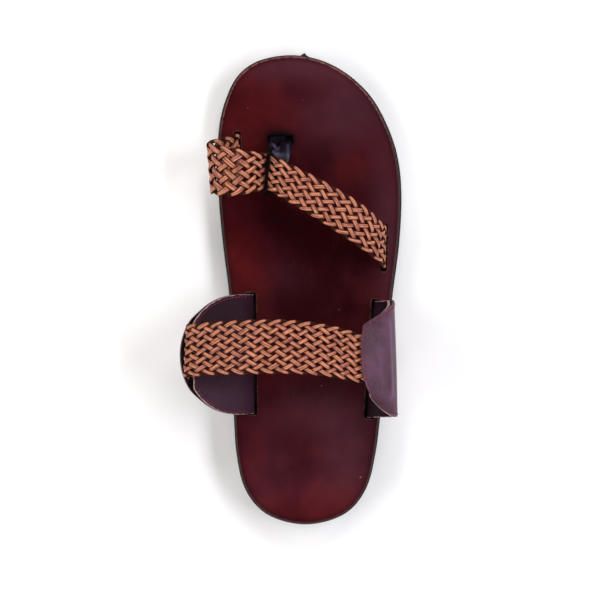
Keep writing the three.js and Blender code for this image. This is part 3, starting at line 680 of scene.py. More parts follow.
lateral_stitches = make_stitches(
    "ear_lateral_stitches", LATERAL_EAR, 0, 0,
    lambda p, along: (LATERAL_EAR["seam"] + braid_bulge(LATERAL_EAR, p, along) + PLY, 1), everywhere)
medial_stitches = make_stitches(
    "ear_medial_stitches", MEDIAL_EAR, LINING_SHORT, NOSE_SHORT, lambda p, along: (0 * p - PLY, -1),
    beside_braid)
medial_back_stitches = make_stitches(
    "ear_medial_back_stitches", MEDIAL_EAR, 0, 0,
    lambda p, along: (MEDIAL_EAR["seam"] + braid_bulge(MEDIAL_EAR, p, along) + PLY, 1), everywhere)

# %% [markdown]
# Both straps are flat braids. A strap's surface is ruled between its front and back edge, each a
# path through a few points, and every place on it is given by a distance along, a share across
# and a lift off the surface.

# %% Surfaces of the straps
# Columns: x, height, y of the front edge, y of the back edge, skew of the row.
INSTEP_RUN = np.array([
    [-66.4, 44.4, 74.5, 44.2, 0.8], [-63.4, 48.2, 74.5, 44.5, 1], [-52, 52.2, 75.8, 45.7, 0.4],
    [-30, 56.6, 77, 46.4, 0], [-10, 57.6, 77, 46.6, 0], [10, 54.6, 74.6, 45.2, 0],
    [24, 49.6, 71.2, 42.6, 0],
])
# Columns: x and y of the front edge, x and y of the back edge, height.
TOE_RUN = np.array([
    [-39.3, 183.6, -38.8, 157, 11.6], [-46.4, 181, -45.2, 152.4, 19.4], [-55.2, 177.7, -52.8, 147.4, 28],
    [-51.6, 176, -49.2, 146, 34], [-41.3, 173.4, -39.6, 145.4, 37], [-30.7, 171.7, -30.2, 147.6, 34],
    [-20.6, 170.2, -22.8, 149.6, 28], [-8.3, 164.7, -14.5, 145.2, 30], [17.6, 150.8, 5.8, 132.8, 34.6],
    [34.4, 140.3, 22.8, 121.9, 31.6], [43.2, 131.8, 38.3, 111.1, 24.6], [45.2, 130.4, 44.3, 105.8, 17.6],
    [45.5, 130.2, 44.9, 105.1, 10.8],
])
# Where the instep strap lies between the plies: its edges as shares of the ear's half length, and
# its rows by their distance past the ear's edge.
MEDIAL_TUCK = {"front": 0.45, "back": -0.41, "rows": np.array([-8, -4.5, -1.2, 0.8])}
LATERAL_TUCK = {"front": 0.47, "back": -0.37, "rows": np.array([-2, -6, -10])}


def strap_surface(front, back):
    """Returns the strap's length and a function place(distance, across, lift) with its normal.
    A point is the mix of the two edge paths at equal parameter; the normal is ahead x sideways."""
    t = np.linspace(0, 1, 601)
    middle = (path_through(front, t) + path_through(back, t)) / 2
    run = np.concatenate([[0], np.cumsum(np.linalg.norm(np.diff(middle, axis=0), axis=1))])

    def at(u, across):
        share = (across[..., None] + 1) / 2
        return path_through(back, u) * (1 - share) + path_through(front, u) * share

    def place(distance, across, lift):
        u = np.interp(distance, run, t)
        nudge = 0.002
        ahead = at(np.minimum(1, u + nudge), across) - at(np.maximum(0, u - nudge), across)
        normal = unit(np.cross(ahead, path_through(front, u) - path_through(back, u)))
        return at(u, across) + lift[..., None] * normal, normal

    return run[-1], place


def tucked_rows(ear, tuck, reach):
    """Front and back points of the strap where it lies between the plies of an ear."""
    along, lift = reach + tuck["rows"], ear["seam"] + STRAND_THICKNESS
    return bend_ear(ear, tuck["front"], along, lift), bend_ear(ear, tuck["back"], along, lift)


def instep_surface():
    """From between the medial plies, over the instep, and in under the lateral outer ply."""
    x, z, front_y, back_y, skew = INSTEP_RUN.T
    start = tucked_rows(MEDIAL_EAR, MEDIAL_TUCK, EAR_TAIL + MEDIAL_EAR["depth"] - NOSE_SHORT)
    end = tucked_rows(LATERAL_EAR, LATERAL_TUCK, EAR_TAIL + LATERAL_EAR["depth"])
    front = np.concatenate([start[0], np.stack([x + skew, front_y, z], axis=-1), end[0]])
    back = np.concatenate([start[1], np.stack([x - skew, back_y, z], axis=-1), end[1]])
    return strap_surface(front, back)


def toe_surface():
    """Out of the medial slot, folded back over the foot, and down into the lateral slot."""
    front_x, front_y, back_x, back_y, z = TOE_RUN.T
    front = np.stack([front_x, front_y, z], axis=-1)
    back = np.stack([back_x, back_y, z], axis=-1)

    def with_feet(edge):
        feet = edge[[0, -1]].copy()
        feet[:, 2] = seat_under(feet[:, 1]) + 2 * SEAM_GAP
        return np.concatenate([feet[:1], edge, feet[1:]])

    return strap_surface(with_feet(front), with_feet(back))


instep_length, instep_place = instep_surface()
toe_length, toe_place = toe_surface()
print(f"instep strap {instep_length:.0f} mm, toe strap {toe_length:.0f} mm")

# %% [markdown]
# In a flat braid of an odd number of strands, every strand zigzags from edge to edge at the same
# slant, and goes over one crossing and under the next. Counting crossings as columns, a strand's
# row is a triangle wave of its column, rounded where it turns at the edge. Its lift is a wave that
# changes sign from each crossing to the next, and passes through zero where the strand turns.
# A domed profile is then carried along all strands at once.

# %% Braids
STRAND_WIDTH_BASE = 0.5
STRAND_WIDTH_SHARE = 0.85
TURN_NARROWING = 0.3
TURN_REACH = 0.7
TURN_SHADE_REACH = 0.45
TURN_SHADE = 0.8
WIDTH_SPREAD = 0.05
EDGE_INSET = 0.85
STRAND_BODY = 1.05
COLUMN_PITCH = 4.4
END_SHARE = 0.65
SAMPLES_PER_COLUMN = 10
PROFILE_SIDES = 14
PROFILE_POWER = 3.6
PLATEAU = 0.12
# Strands, how sharply they turn at the edges, 1 if a strand comes to the edge on top or else -1,
# and the lines along which the braid is drawn in, where painted shade darkens the strands.
INSTEP_WEAVE = {"strands": 13, "sharpness": 0.98, "arrives": 1, "seed": 3, "groove_shade_lines": []}
TOE_WEAVE = {"strands": 9, "sharpness": 0.965, "arrives": -1, "seed": 5,
             "groove_shade_lines": [(-20.6, 171, -21.6, 164, 1.9, 1.0), (-21.6, 164, -22.6, 149, 1.5, 1.0)]}


def strand_profile():
    """A strip's section: a superellipse, flatter below than above."""
    angle = np.linspace(0, 2 * np.pi, PROFILE_SIDES, endpoint=False)
    x = np.sign(np.cos(angle)) * np.abs(np.cos(angle)) ** (2 / PROFILE_POWER)
    z = np.sign(np.sin(angle)) * np.abs(np.sin(angle)) ** (2 / PROFILE_POWER)
    return x, np.where(z < 0, z * 0.8, z)


def make_braid(name, length, place, weave):
    """Strand k at a column has gone s = column + 2k steps since it was last at the back edge, counted
    round in 2n. Its row is n/pi arcsin(q sin(pi s/n - pi/2)) from the middle. Its lift follows
    cos(pi column), signed by climbing or falling, or -sin(pi d/2) within a step d of a turn."""
    count, sharpness = weave["strands"], weave["sharpness"]
    columns = 2 * int(round(length / COLUMN_PITCH / 2))
    pitch = length / (columns + 2 * END_SHARE)
    column = np.linspace(-END_SHARE, columns + END_SHARE, columns * SAMPLES_PER_COLUMN + 1)[None, :]
    step = (column + 2 * np.arange(count)[:, None]) % (2 * count)
    across = np.arcsin(sharpness * np.sin(np.pi * step / count - np.pi / 2)) / np.arcsin(sharpness)
    from_turn = step - count * np.round(step / count)
    climbing = np.where(step < count, 1.0, -1.0)
    wave = np.where(np.abs(from_turn) < 1, -np.sin(np.pi * from_turn / 2), np.cos(np.pi * column) * climbing)
    wave = weave["arrives"] * wave
    lift = STRAND_THICKNESS / 2 * wave / np.sqrt(wave ** 2 + PLATEAU) * np.sqrt(1 + PLATEAU)
    distance = pitch * (column + END_SHARE) + 0 * step
    edge = np.ones(distance[:1].shape)
    span = np.linalg.norm(place(distance[:1], edge, 0 * edge)[0] - place(distance[:1], -edge, 0 * edge)[0],
                          axis=-1) / 2
    half = (STRAND_WIDTH_BASE + STRAND_WIDTH_SHARE * 2 * span / count) / 2
    random = np.random.default_rng(weave["seed"])
    widths = random.normal(1, WIDTH_SPREAD, (count, columns + 2))
    uneven = np.stack([smooth_table(column[0], np.arange(columns + 2) - 0.8, row) for row in widths])
    half = half * uneven * (1 - TURN_NARROWING * np.exp(-(from_turn / TURN_REACH) ** 2))
    centre, normal = place(distance, across * (1 - half.mean(axis=0) * EDGE_INSET / span), lift)
    x, z = strand_profile()
    points, faces = sweep_tubes(centre, normal, half, np.full(half.shape, STRAND_BODY / 2), (x, z))
    number = np.arange(count)[:, None, None]
    uv = np.stack(np.broadcast_arrays(distance[..., None] * MM, number + 0.5 + 0.4 * x), axis=-1)
    # Painted shade for the finish: darker where a strand dives under a crossing, near its turns, and along
    # the groove.
    shaded_turn = TURN_SHADE * np.exp(-(from_turn / TURN_SHADE_REACH) ** 2)
    lit_vs_shaded = wave[..., None] * np.clip(1.5 * z, -1, 1) - shaded_turn[..., None]
    groove_shade = sum((streak_at(points, *line) for line in weave["groove_shade_lines"]), np.zeros(lit_vs_shaded.shape))
    return make_piece(name, points, faces, uv=uv, values={
        "side": np.broadcast_to(np.abs(x), lit_vs_shaded.shape), "over": lit_vs_shaded, "groove_shade": groove_shade})


instep_braid = make_braid("instep_braid_strands", instep_length, instep_place, INSTEP_WEAVE)
toe_braid = make_braid("toe_braid_strands", toe_length, toe_place, TOE_WEAVE)

# %% [markdown]
# The thong is one strip of glossy black leather. It comes up out of its slot between the toes,
# narrows as it is gathered, passes over the toe strap and goes back down into the slot. The path
# and the widths are short tables; small lengthwise folds appear where the strip is drawn together.

# %% Thong
# Columns: x, y, z of the strip's middle, and its width.
THONG_LOOP = np.array([
    [-17.4, 181, 7.2, 6.4], [-17.4, 181, 12, 6.4], [-18.2, 177.4, 20, 5.4], [-19.8, 173.6, 27.6, 3.8],
    [-20.8, 170, 30.5, 2.4], [-21.8, 160, 30.7, 1.8], [-22.6, 149.6, 30.5, 2.2], [-22.4, 147.4, 28, 3],
    [-20.6, 150.6, 24.8, 6], [-16.6, 162, 23.8, 10], [-14.2, 172, 20.6, 12.4], [-14.2, 178.6, 13, 12.4],
    [-14.2, 179, 7.2, 12.4],
])
THONG_THICKNESS = 1.5
THONG_RINGS = 220
THONG_SIDES = 36
FOLD_DEPTH = 0.25
# Painted highlight streaks in plan: both ends, breadth and strength.
PAINTED_HIGHLIGHT_STREAKS = np.array([
    [-18.8, 176.1, -17.2, 174.5, 0.6, 0.6], [-17.2, 174.5, -15.8, 172.6, 0.7, 0.65],
    [-15.8, 172.6, -15, 169.6, 0.6, 0.5], [-19.4, 173.2, -17, 170.6, 0.7, 1.0],
    [-10, 176.3, -10, 166, 0.5, 0.5], [-20.9, 173.6, -20.9, 172, 0.5, 0.4],
])


def make_thong():
    """A superellipse of power 4 along the loop. Folds lift it by cos(3 pi across), most where the
    strip is half drawn in."""
    t = np.linspace(0, 1, THONG_RINGS)
    centre = path_through(THONG_LOOP[:, :3], t)
    width = smooth_table(t * (len(THONG_LOOP) - 1), np.arange(len(THONG_LOOP)), THONG_LOOP[:, 3])
    tangent = np.gradient(centre, axis=0)
    normal = unit(np.stack([0 * t, tangent[:, 2], -tangent[:, 1]], axis=-1))
    angle = np.linspace(0, 2 * np.pi, THONG_SIDES, endpoint=False)
    x = np.sign(np.cos(angle)) * np.abs(np.cos(angle)) ** 0.5
    z = np.sign(np.sin(angle)) * np.abs(np.sin(angle)) ** 0.5
    slack = (width - width.min()) / np.ptp(width)
    fold = FOLD_DEPTH * 4 * slack * (1 - slack)
    lift = z * THONG_THICKNESS / 2 + fold[:, None] * np.cos(3 * np.pi * x + 0.6)
    points = centre[:, None] + lift[..., None] * normal[:, None]
    points[..., 0] += x * width[:, None] / 2
    faces = grid_faces(THONG_RINGS, THONG_SIDES, close_columns=True).tolist()
    first = np.arange(THONG_SIDES)
    faces += [first.tolist(), (first + (THONG_RINGS - 1) * THONG_SIDES).tolist()]
    uv = np.stack(np.broadcast_arrays(t[:, None] * 0.12, x * 0.006), axis=-1)
    painted_highlight = sum(streak_at(points, *row) for row in PAINTED_HIGHLIGHT_STREAKS)
    return make_piece("toe_thong_strip", points, faces, uv=uv, values={"painted_highlight": painted_highlight})


thong = make_thong()

# %% [markdown]
# The finishes share four effects, each a node group: the pebble of leather grain, a soft mottle,
# specks with fine scratches, and a broken pale line along an edge, which is the pale colour of a
# cut edge and in places a painted highlight on a rounded rim. A small helper adds a node, sets its
# values and links its inputs in one call.

# %% Node helpers
def feed(tree, socket, value):
    """Links another node's socket to this one, or sets its value."""
    if isinstance(value, bpy.types.NodeSocket):
        tree.links.new(value, socket)
    else:
        socket.default_value = value


def add(tree, kind, inputs=None, **settings):
    """Adds a node, makes its settings and feeds its inputs."""
    node = tree.nodes.new("ShaderNode" + kind)
    for key, value in settings.items():
        setattr(node, key, value)
    for key, value in (inputs or {}).items():
        feed(tree, node.inputs[key], value)
    return node


def maths(tree, operation, *values):
    """A Math node on up to three numbers or sockets."""
    return add(tree, "Math", dict(enumerate(values)), operation=operation).outputs[0]


def ramp(tree, value, low, high, to_low=0.0, to_high=1.0):
    """Carries a value from one range to another, smoothly and within its ends."""
    inputs = {"Value": value, "From Min": low, "From Max": high, "To Min": to_low, "To Max": to_high}
    return add(tree, "MapRange", inputs, interpolation_type="SMOOTHSTEP").outputs[0]


def blend(tree, share, first, second, mode="MIX"):
    """Mixes two colours by a share."""
    node = add(tree, "Mix", data_type="RGBA", blend_type=mode)
    for number, value in ((0, share), (6, first), (7, second)):
        feed(tree, node.inputs[number], value)
    return node.outputs[2]


def stored(tree, key):
    """A number stored on the points of the piece."""
    return add(tree, "Attribute", attribute_name=key).outputs["Fac"]


def noise(tree, vector, scale, detail=2.0, rough=0.5):
    """Smooth noise from zero to one."""
    inputs = {"Vector": vector, "Scale": scale, "Detail": detail, "Roughness": rough}
    return add(tree, "TexNoise", inputs).outputs["Fac"]


def stretched(tree, vector, scale, turn=(0, 0, 0)):
    """A vector turned and scaled by a Mapping node."""
    return add(tree, "Mapping", {"Vector": vector, "Scale": scale, "Rotation": turn}).outputs[0]


def srgb(red, green, blue):
    """A colour given in the usual 0 to 255 steps, as the linear values that a shader takes."""
    value = np.array([red, green, blue]) / 255
    linear = np.where(value <= 0.04045, value / 12.92, ((value + 0.055) / 1.055) ** 2.4)
    return (*linear.tolist(), 1.0)


def new_group(name, inputs, outputs):
    """An empty node group with named sockets. Returns its tree, its input and its output node."""
    tree = bpy.data.node_groups.new(name, "ShaderNodeTree")
    for key, kind, start in inputs:
        socket = tree.interface.new_socket(key, in_out="INPUT", socket_type="NodeSocket" + kind)
        if start is not None:
            socket.default_value = start
    for key, kind in outputs:
        tree.interface.new_socket(key, in_out="OUTPUT", socket_type="NodeSocket" + kind)
    return tree, tree.nodes.new("NodeGroupInput").outputs, tree.nodes.new("NodeGroupOutput").inputs


def place_group(tree, group, **inputs):
    """Places a node group in a material, sets or links its inputs and returns its outputs."""
    node = tree.nodes.new("ShaderNodeGroup")
    node.node_tree = group
    for key, value in inputs.items():
        feed(tree, node.inputs[key], value)
    return node.outputs


# %% Shared effects
def make_grain():
    """Leather grain: the gaps between uneven cells are low, the cells are domed, and a fine noise
    runs over both. Size is the breadth of a cell in metres."""
    tree, given, out = new_group("leather_grain", [("Vector", "Vector", None), ("Size", "Float", 0.0008)],
                                 [("Height", "Float")])
    scale = maths(tree, "DIVIDE", 1.0, given["Size"])
    drift = add(tree, "VectorMath", {0: given["Vector"]}, operation="SCALE")
    tree.links.new(scale, drift.inputs["Scale"])
    cells = add(tree, "TexVoronoi", {"Vector": drift.outputs[0], "Scale": 1.0, "Randomness": 1.0},
                feature="DISTANCE_TO_EDGE").outputs["Distance"]
    fine = noise(tree, drift.outputs[0], 2.6, 3.0, 0.6)
    domed = ramp(tree, cells, 0.0, 0.28)
    tree.links.new(maths(tree, "MULTIPLY_ADD", fine, 0.6, domed), out["Height"])
    return tree


def make_mottle():
    """Soft clouds from zero to one. Size is the breadth of a cloud in metres."""
    tree, given, out = new_group("soft_mottle", [("Vector", "Vector", None), ("Size", "Float", 0.02)],
                                 [("Value", "Float")])
    scale = maths(tree, "DIVIDE", 1.0, given["Size"])
    wide = noise(tree, given["Vector"], scale, 2.0, 0.5)
    tree.links.new(ramp(tree, wide, 0.3, 0.7), out["Value"])
    return tree


def make_scuffs():
    """Specks: the middles of a few chosen cells. Scratches: thin bands of a stretched noise, kept
    in patches."""
    tree, given, out = new_group("specks_and_scratches", [("Vector", "Vector", None)],
                                 [("Specks", "Float"), ("Scratches", "Float")])
    cells = add(tree, "TexVoronoi", {"Vector": given["Vector"], "Scale": 95.0, "Randomness": 1.0})
    dot = ramp(tree, cells.outputs["Distance"], 0.075, 0.03)
    chosen = add(tree, "SeparateColor", {"Color": cells.outputs["Color"]}).outputs[0]
    tree.links.new(maths(tree, "MULTIPLY", dot, ramp(tree, chosen, 0.80, 0.9)), out["Specks"])
    lines = noise(tree, stretched(tree, given["Vector"], (900, 38, 60), (0, 0, 0.35)), 1.0, 1.0)
    thin = ramp(tree, maths(tree, "ABSOLUTE", maths(tree, "SUBTRACT", lines, 0.5)), 0.012, 0.0)
    patch = ramp(tree, noise(tree, given["Vector"], 45.0), 0.55, 0.68)
    tree.links.new(maths(tree, "MULTIPLY", thin, patch), out["Scratches"])
    return tree


def make_pale_edge_line():
    """A pale line along an edge, one within Width of it, broken here and there by a noise: a cut
    edge's own colour, and in places a painted highlight on a rounded rim.
    """
    tree, given, out = new_group("pale_edge_line", [("Vector", "Vector", None), ("Distance", "Float", 1.0),
                                              ("Width", "Float", 0.8)], [("Mask", "Float")])
    wander = ramp(tree, noise(tree, given["Vector"], 420.0, 3.0), 0.3, 0.7, 0.15, 1.3)
    uneven = maths(tree, "MULTIPLY", given["Width"], wander)
    near = maths(tree, "SUBTRACT", 1.0, maths(tree, "DIVIDE", given["Distance"], uneven))
    tree.links.new(ramp(tree, near, 0.0, 0.5), out["Mask"])
    return tree


grain_group, mottle_group = make_grain(), make_mottle()
scuff_group, pale_line_group = make_scuffs(), make_pale_edge_line()
print("node groups:", [group.name for group in bpy.data.node_groups])

# %% [markdown]
# Each finish is one Principled shader. What changes over the surface comes from the groups and
# the stored numbers; what is the same all over is set on the shader itself.

# %% Finishes
def new_finish(name, **constants):
    """A material with its node tree, its shader and the object coordinates."""
    material = bpy.data.materials.new(name)
    material.use_nodes = True
    tree = material.node_tree
    tree.nodes.clear()
    shader = add(tree, "BsdfPrincipled", constants)
    output = tree.nodes.new("ShaderNodeOutputMaterial")
    tree.links.new(shader.outputs[0], output.inputs[0])
    return material, tree, shader, add(tree, "TexCoord").outputs


def bump(tree, shader, height, distance, strength=1.0):
    """Feeds a height in shares of a distance in metres to the shader's normal."""
    node = add(tree, "Bump", {"Height": height, "Distance": distance, "Strength": strength})
    tree.links.new(node.outputs[0], shader.inputs["Normal"])


def rubber_finish():
    """Black moulded rubber, dull, with a fine pebble and dusty scuffs."""
    material, tree, shader, coords = new_finish("black_rubber", **{"Specular IOR Level": 0.35})
    place = coords["Object"]
    dust = place_group(tree, mottle_group, Vector=place, Size=0.012)["Value"]
    scuffs = place_group(tree, scuff_group, Vector=place)
    colour = blend(tree, maths(tree, "MULTIPLY", dust, 0.5), srgb(22, 20, 24), srgb(44, 40, 44))
    colour = blend(tree, maths(tree, "MULTIPLY", scuffs["Scratches"], 0.4), colour, srgb(90, 84, 84))
    tree.links.new(colour, shader.inputs["Base Color"])
    tree.links.new(ramp(tree, dust, 0.0, 1.0, 0.55, 0.75), shader.inputs["Roughness"])
    bump(tree, shader, place_group(tree, grain_group, Vector=place, Size=0.0007)["Height"], 0.00008)
    return material


def footbed_finish():
    """Burnished sole leather: red mahogany that turns nearly black, with painted shade beside the
    instep strap, a painted cool reflection in places, a dark dyed edge, painted shade in and round
    the slots, a painted shadow round the thong, a thin pale line along the rim that is partly wear
    and partly painted highlight, a painted highlight on the slot lips, specks and hair scratches."""
    material, tree, shader, coords = new_finish("burnished_leather", **{"Specular IOR Level": 0.12})
    place = coords["Object"]
    cloud = place_group(tree, mottle_group, Vector=place, Size=0.03)["Value"]
    small = place_group(tree, mottle_group, Vector=place, Size=0.007)["Value"]
    scuffs = place_group(tree, scuff_group, Vector=place)
    # The board's uneven burnish, together with painted shade beside the instep strap.
    warmth_and_shade = maths(tree, "MULTIPLY_ADD", stored(tree, "burnish_and_shade"), 0.45, 0.42)
    warmth_and_shade = maths(tree, "ADD", warmth_and_shade, maths(tree, "MULTIPLY_ADD", cloud, 0.36, -0.18))
    warmth_and_shade = maths(tree, "ADD", warmth_and_shade, maths(tree, "MULTIPLY_ADD", small, 0.12, -0.06))
    colour = blend(tree, ramp(tree, warmth_and_shade, 0.0, 0.5), srgb(38, 3, 8), srgb(55, 8, 14))
    colour = blend(tree, ramp(tree, warmth_and_shade, 0.4, 1.0), colour, srgb(78, 15, 18))
    # Painted reflection: a cool grey-violet sheen of the lamps laid into the colour.
    painted_reflection = maths(tree, "MULTIPLY", stored(tree, "painted_reflection"), ramp(tree, cloud, 0.0, 1.0, 0.75, 1.0))
    colour = blend(tree, maths(tree, "MULTIPLY", painted_reflection, 0.55), colour, srgb(84, 44, 56))
    rim = stored(tree, "rim")
    colour = blend(tree, ramp(tree, rim, 4.0, 0.9, 0.0, 0.5), colour, srgb(30, 8, 12))
    # A thin pale line along the rounded rim, strongest at the toe: partly wear, partly painted highlight.
    rim_wear_and_highlight = place_group(tree, pale_line_group, Vector=place, Distance=maths(tree, "ABSOLUTE",
                       maths(tree, "SUBTRACT", rim, 0.75)), Width=0.5)["Mask"]
    at_toe = ramp(tree, add(tree, "SeparateXYZ", {0: place}).outputs["Y"], 0.178, 0.2)
    rim_wear_and_highlight = maths(tree, "MULTIPLY", rim_wear_and_highlight, ramp(tree, at_toe, 0.0, 1.0, 0.08, 0.6))
    colour = blend(tree, rim_wear_and_highlight, colour, srgb(150, 88, 84))
    # Painted shade: darker inside and round each slot.
    slot_wall = stored(tree, "slot_wall")
    colour = blend(tree, ramp(tree, slot_wall, 1.8, 0.2, 0.0, 0.85), colour, srgb(16, 5, 7))
    # Painted shadow: near black round the thong's slot.
    colour = blend(tree, maths(tree, "MULTIPLY", stored(tree, "thong_shadow"), 0.85), colour, srgb(9, 3, 7))
    # Painted highlight: a faint pale line along the rounded lip of the ear and toe slots.
    lip_highlight = maths(tree, "ABSOLUTE", maths(tree, "SUBTRACT", stored(tree, "lip_highlight"), 0.75))
    lip_highlight = place_group(tree, pale_line_group, Vector=place, Distance=lip_highlight, Width=0.45)["Mask"]
    colour = blend(tree, maths(tree, "MULTIPLY", lip_highlight, 0.2), colour, srgb(150, 92, 88))
    colour = blend(tree, maths(tree, "MULTIPLY", scuffs["Specks"], 0.5), colour, srgb(150, 96, 100))
    colour = blend(tree, maths(tree, "MULTIPLY", scuffs["Scratches"], 0.12), colour, srgb(120, 66, 70))
    tree.links.new(colour, shader.inputs["Base Color"])
    gloss = maths(tree, "ADD", ramp(tree, cloud, 0.0, 1.0, 0.28, 0.36),
                  maths(tree, "MULTIPLY", scuffs["Scratches"], 0.1))
    tree.links.new(gloss, shader.inputs["Roughness"])
    fine = place_group(tree, grain_group, Vector=place, Size=0.0009)["Height"]
    height = maths(tree, "MULTIPLY_ADD", small, 1.5, maths(tree, "MULTIPLY", fine, 0.5))
    bump(tree, shader, height, 0.00005)
    return material


def ear_finish(name, tones, edge, shine):
    """Dyed upper leather with a fine grain, a soft mottle, a pale broken cut edge, and painted light
    and shade: lighter patches for painted highlights and reflections, darker ones for painted shade.
    tones are the flesh side, and the darkest and lightest of the grain side; edge is its colour,
    share and width."""
    flesh, dark, light = tones
    edge_colour, edge_share, edge_width = edge
    material, tree, shader, coords = new_finish(name, **{"Specular IOR Level": shine})
    place = coords["Object"]
    cloud = place_group(tree, mottle_group, Vector=place, Size=0.014)["Value"]
    scuffs = place_group(tree, scuff_group, Vector=place)
    grain = place_group(tree, grain_group, Vector=place, Size=0.0007)["Height"]
    colour = blend(tree, cloud, dark, light)
    colour = blend(tree, stored(tree, "outside"), flesh, colour)
    # Painted light and shade: lighter patches stand for highlights and reflections, darker for shade.
    painted_light_and_shade = stored(tree, "painted_light_and_shade")
    colour = blend(tree, ramp(tree, painted_light_and_shade, 0.0, 1.0, 0.0, 0.5), colour, srgb(110, 80, 102))
    colour = blend(tree, ramp(tree, painted_light_and_shade, 0.0, -1.0, 0.0, 0.75), colour, srgb(18, 5, 10))
    mask = place_group(tree, pale_line_group, Vector=place, Distance=stored(tree, "rim"), Width=edge_width)["Mask"]
    colour = blend(tree, maths(tree, "MULTIPLY", mask, edge_share), colour, edge_colour)
    colour = blend(tree, maths(tree, "MULTIPLY", scuffs["Scratches"], 0.15), colour, srgb(150, 120, 130))
    tree.links.new(colour, shader.inputs["Base Color"])
    tree.links.new(ramp(tree, cloud, 0.0, 1.0, 0.34, 0.46), shader.inputs["Roughness"])
    bump(tree, shader, grain, 0.00006)
    return material


def strand_finish():
    """Tan strips: each strand has its own tone that wanders along it, and fine lengthwise fibres.
    Their edges are dark, partly burnished and partly painted shade, and painted shade darkens them
    where they dive under a crossing, near their turns and along the thong's groove."""
    material, tree, shader, _ = new_finish("tan_strand_leather")
    along = add(tree, "UVMap", uv_map="flat").outputs[0]
    tone = noise(tree, stretched(tree, along, (150, 7.3, 1)), 1.0, 2.0)
    gold = noise(tree, stretched(tree, along, (95, 11.7, 3)), 1.0, 1.0)
    fibres = noise(tree, stretched(tree, along, (260, 40, 1)), 1.0, 3.0, 0.7)
    warm = blend(tree, ramp(tree, gold, 0.42, 0.58), srgb(208, 130, 112), srgb(219, 143, 92))
    colour = blend(tree, ramp(tree, tone, 0.38, 0.6), srgb(120, 58, 48), warm)
    colour = blend(tree, ramp(tree, fibres, 0.5, 0.75, 0.0, 0.6), colour, srgb(234, 174, 146))
    colour = blend(tree, ramp(tree, fibres, 0.5, 0.28, 0.0, 0.6), colour, srgb(92, 36, 24))
    # Dark strand edges, partly burnished and partly painted shade, plus painted shade under crossings, at
    # turns and in the groove.
    edge_and_shade = maths(tree, "MAXIMUM", ramp(tree, stored(tree, "side"), 0.55, 0.9),
                   ramp(tree, stored(tree, "over"), -0.3, -0.9))
    edge_and_shade = maths(tree, "MAXIMUM", edge_and_shade, stored(tree, "groove_shade"))
    colour = blend(tree, maths(tree, "MULTIPLY", edge_and_shade, 0.95), colour, srgb(34, 7, 4))
    tree.links.new(colour, shader.inputs["Base Color"])
    tree.links.new(ramp(tree, edge_and_shade, 0.0, 0.8, 0.3, 0.03), shader.inputs["Specular IOR Level"])
    tree.links.new(ramp(tree, fibres, 0.3, 0.7, 0.5, 0.38), shader.inputs["Roughness"])
    bump(tree, shader, fibres, 0.00018)
    return material


def thong_finish():
    """Glossy black strip with a blue cast, painted highlight streaks, faint lengthwise creases, and
    painted shade on the part that wraps over the toe strap.
    """
    material, tree, shader, coords = new_finish("black_strip_leather")
    place = coords["Object"]
    cloud = place_group(tree, mottle_group, Vector=place, Size=0.006)["Value"]
    colour = blend(tree, cloud, srgb(9, 5, 14), srgb(20, 13, 27))
    # Painted highlight: pale streaks of lamp reflection on the strip.
    colour = blend(tree, maths(tree, "MULTIPLY", stored(tree, "painted_highlight"), 0.55), colour, srgb(128, 114, 146))
    # Painted shade: the part of the strip that wraps over the toe strap, sunk in its groove, is darker and
    # dull.
    wrap_shade = ramp(tree, add(tree, "SeparateXYZ", {0: place}).outputs["Z"], 0.026, 0.029)
    colour = blend(tree, wrap_shade, colour, srgb(12, 5, 5))
    tree.links.new(ramp(tree, wrap_shade, 0.0, 1.0, 0.12, 0.03), shader.inputs["Specular IOR Level"])
    tree.links.new(colour, shader.inputs["Base Color"])
    tree.links.new(ramp(tree, cloud, 0.0, 1.0, 0.22, 0.36), shader.inputs["Roughness"])
    along = add(tree, "UVMap", uv_map="flat").outputs[0]
    creases = noise(tree, stretched(tree, along, (90, 900, 1)), 1.0, 3.0)
    grain = place_group(tree, grain_group, Vector=place, Size=0.0006)["Height"]
    bump(tree, shader, maths(tree, "MULTIPLY_ADD", grain, 0.25, creases), 0.0001)
    return material


def thread_finish():
    """Dark red waxed thread with a twist."""
    material, tree, shader, coords = new_finish("red_thread", **{"Specular IOR Level": 0.4})
    place = coords["Object"]
    twist = noise(tree, stretched(tree, place, (2600, 900, 900), (0.3, 0.4, 0.5)), 1.0, 2.0)
    tree.links.new(blend(tree, ramp(tree, twist, 0.3, 0.7), srgb(74, 12, 24), srgb(140, 40, 52)),
                   shader.inputs["Base Color"])
    tree.links.new(ramp(tree, twist, 0.0, 1.0, 0.65, 0.5), shader.inputs["Roughness"])
    bump(tree, shader, twist, 0.00008)
    return material


finishes = {
    "rubber": rubber_finish(),
    "footbed": footbed_finish(),
    "lining": ear_finish("lining_leather", (srgb(50, 24, 38), srgb(34, 12, 24), srgb(46, 22, 36)),
                         (srgb(190, 156, 156), 0.7, 0.55), 0.08),
    # The outer ply's pale edge line is partly its cut edge and partly a painted highlight on the rounded
    # edge.
    "outer": ear_finish("plum_leather", (srgb(20, 10, 15), srgb(72, 42, 58), srgb(94, 60, 82)),
                        (srgb(120, 92, 98), 0.4, 0.5), 0.2),
    "strand": strand_finish(),
    "thong": thong_finish(),
    "thread": thread_finish(),
}
print("finishes:", sorted(material.name for material in finishes.values()))

# %% [markdown]
# Every piece takes its finish, rides on the part's only body, and hides the solid it stands for.

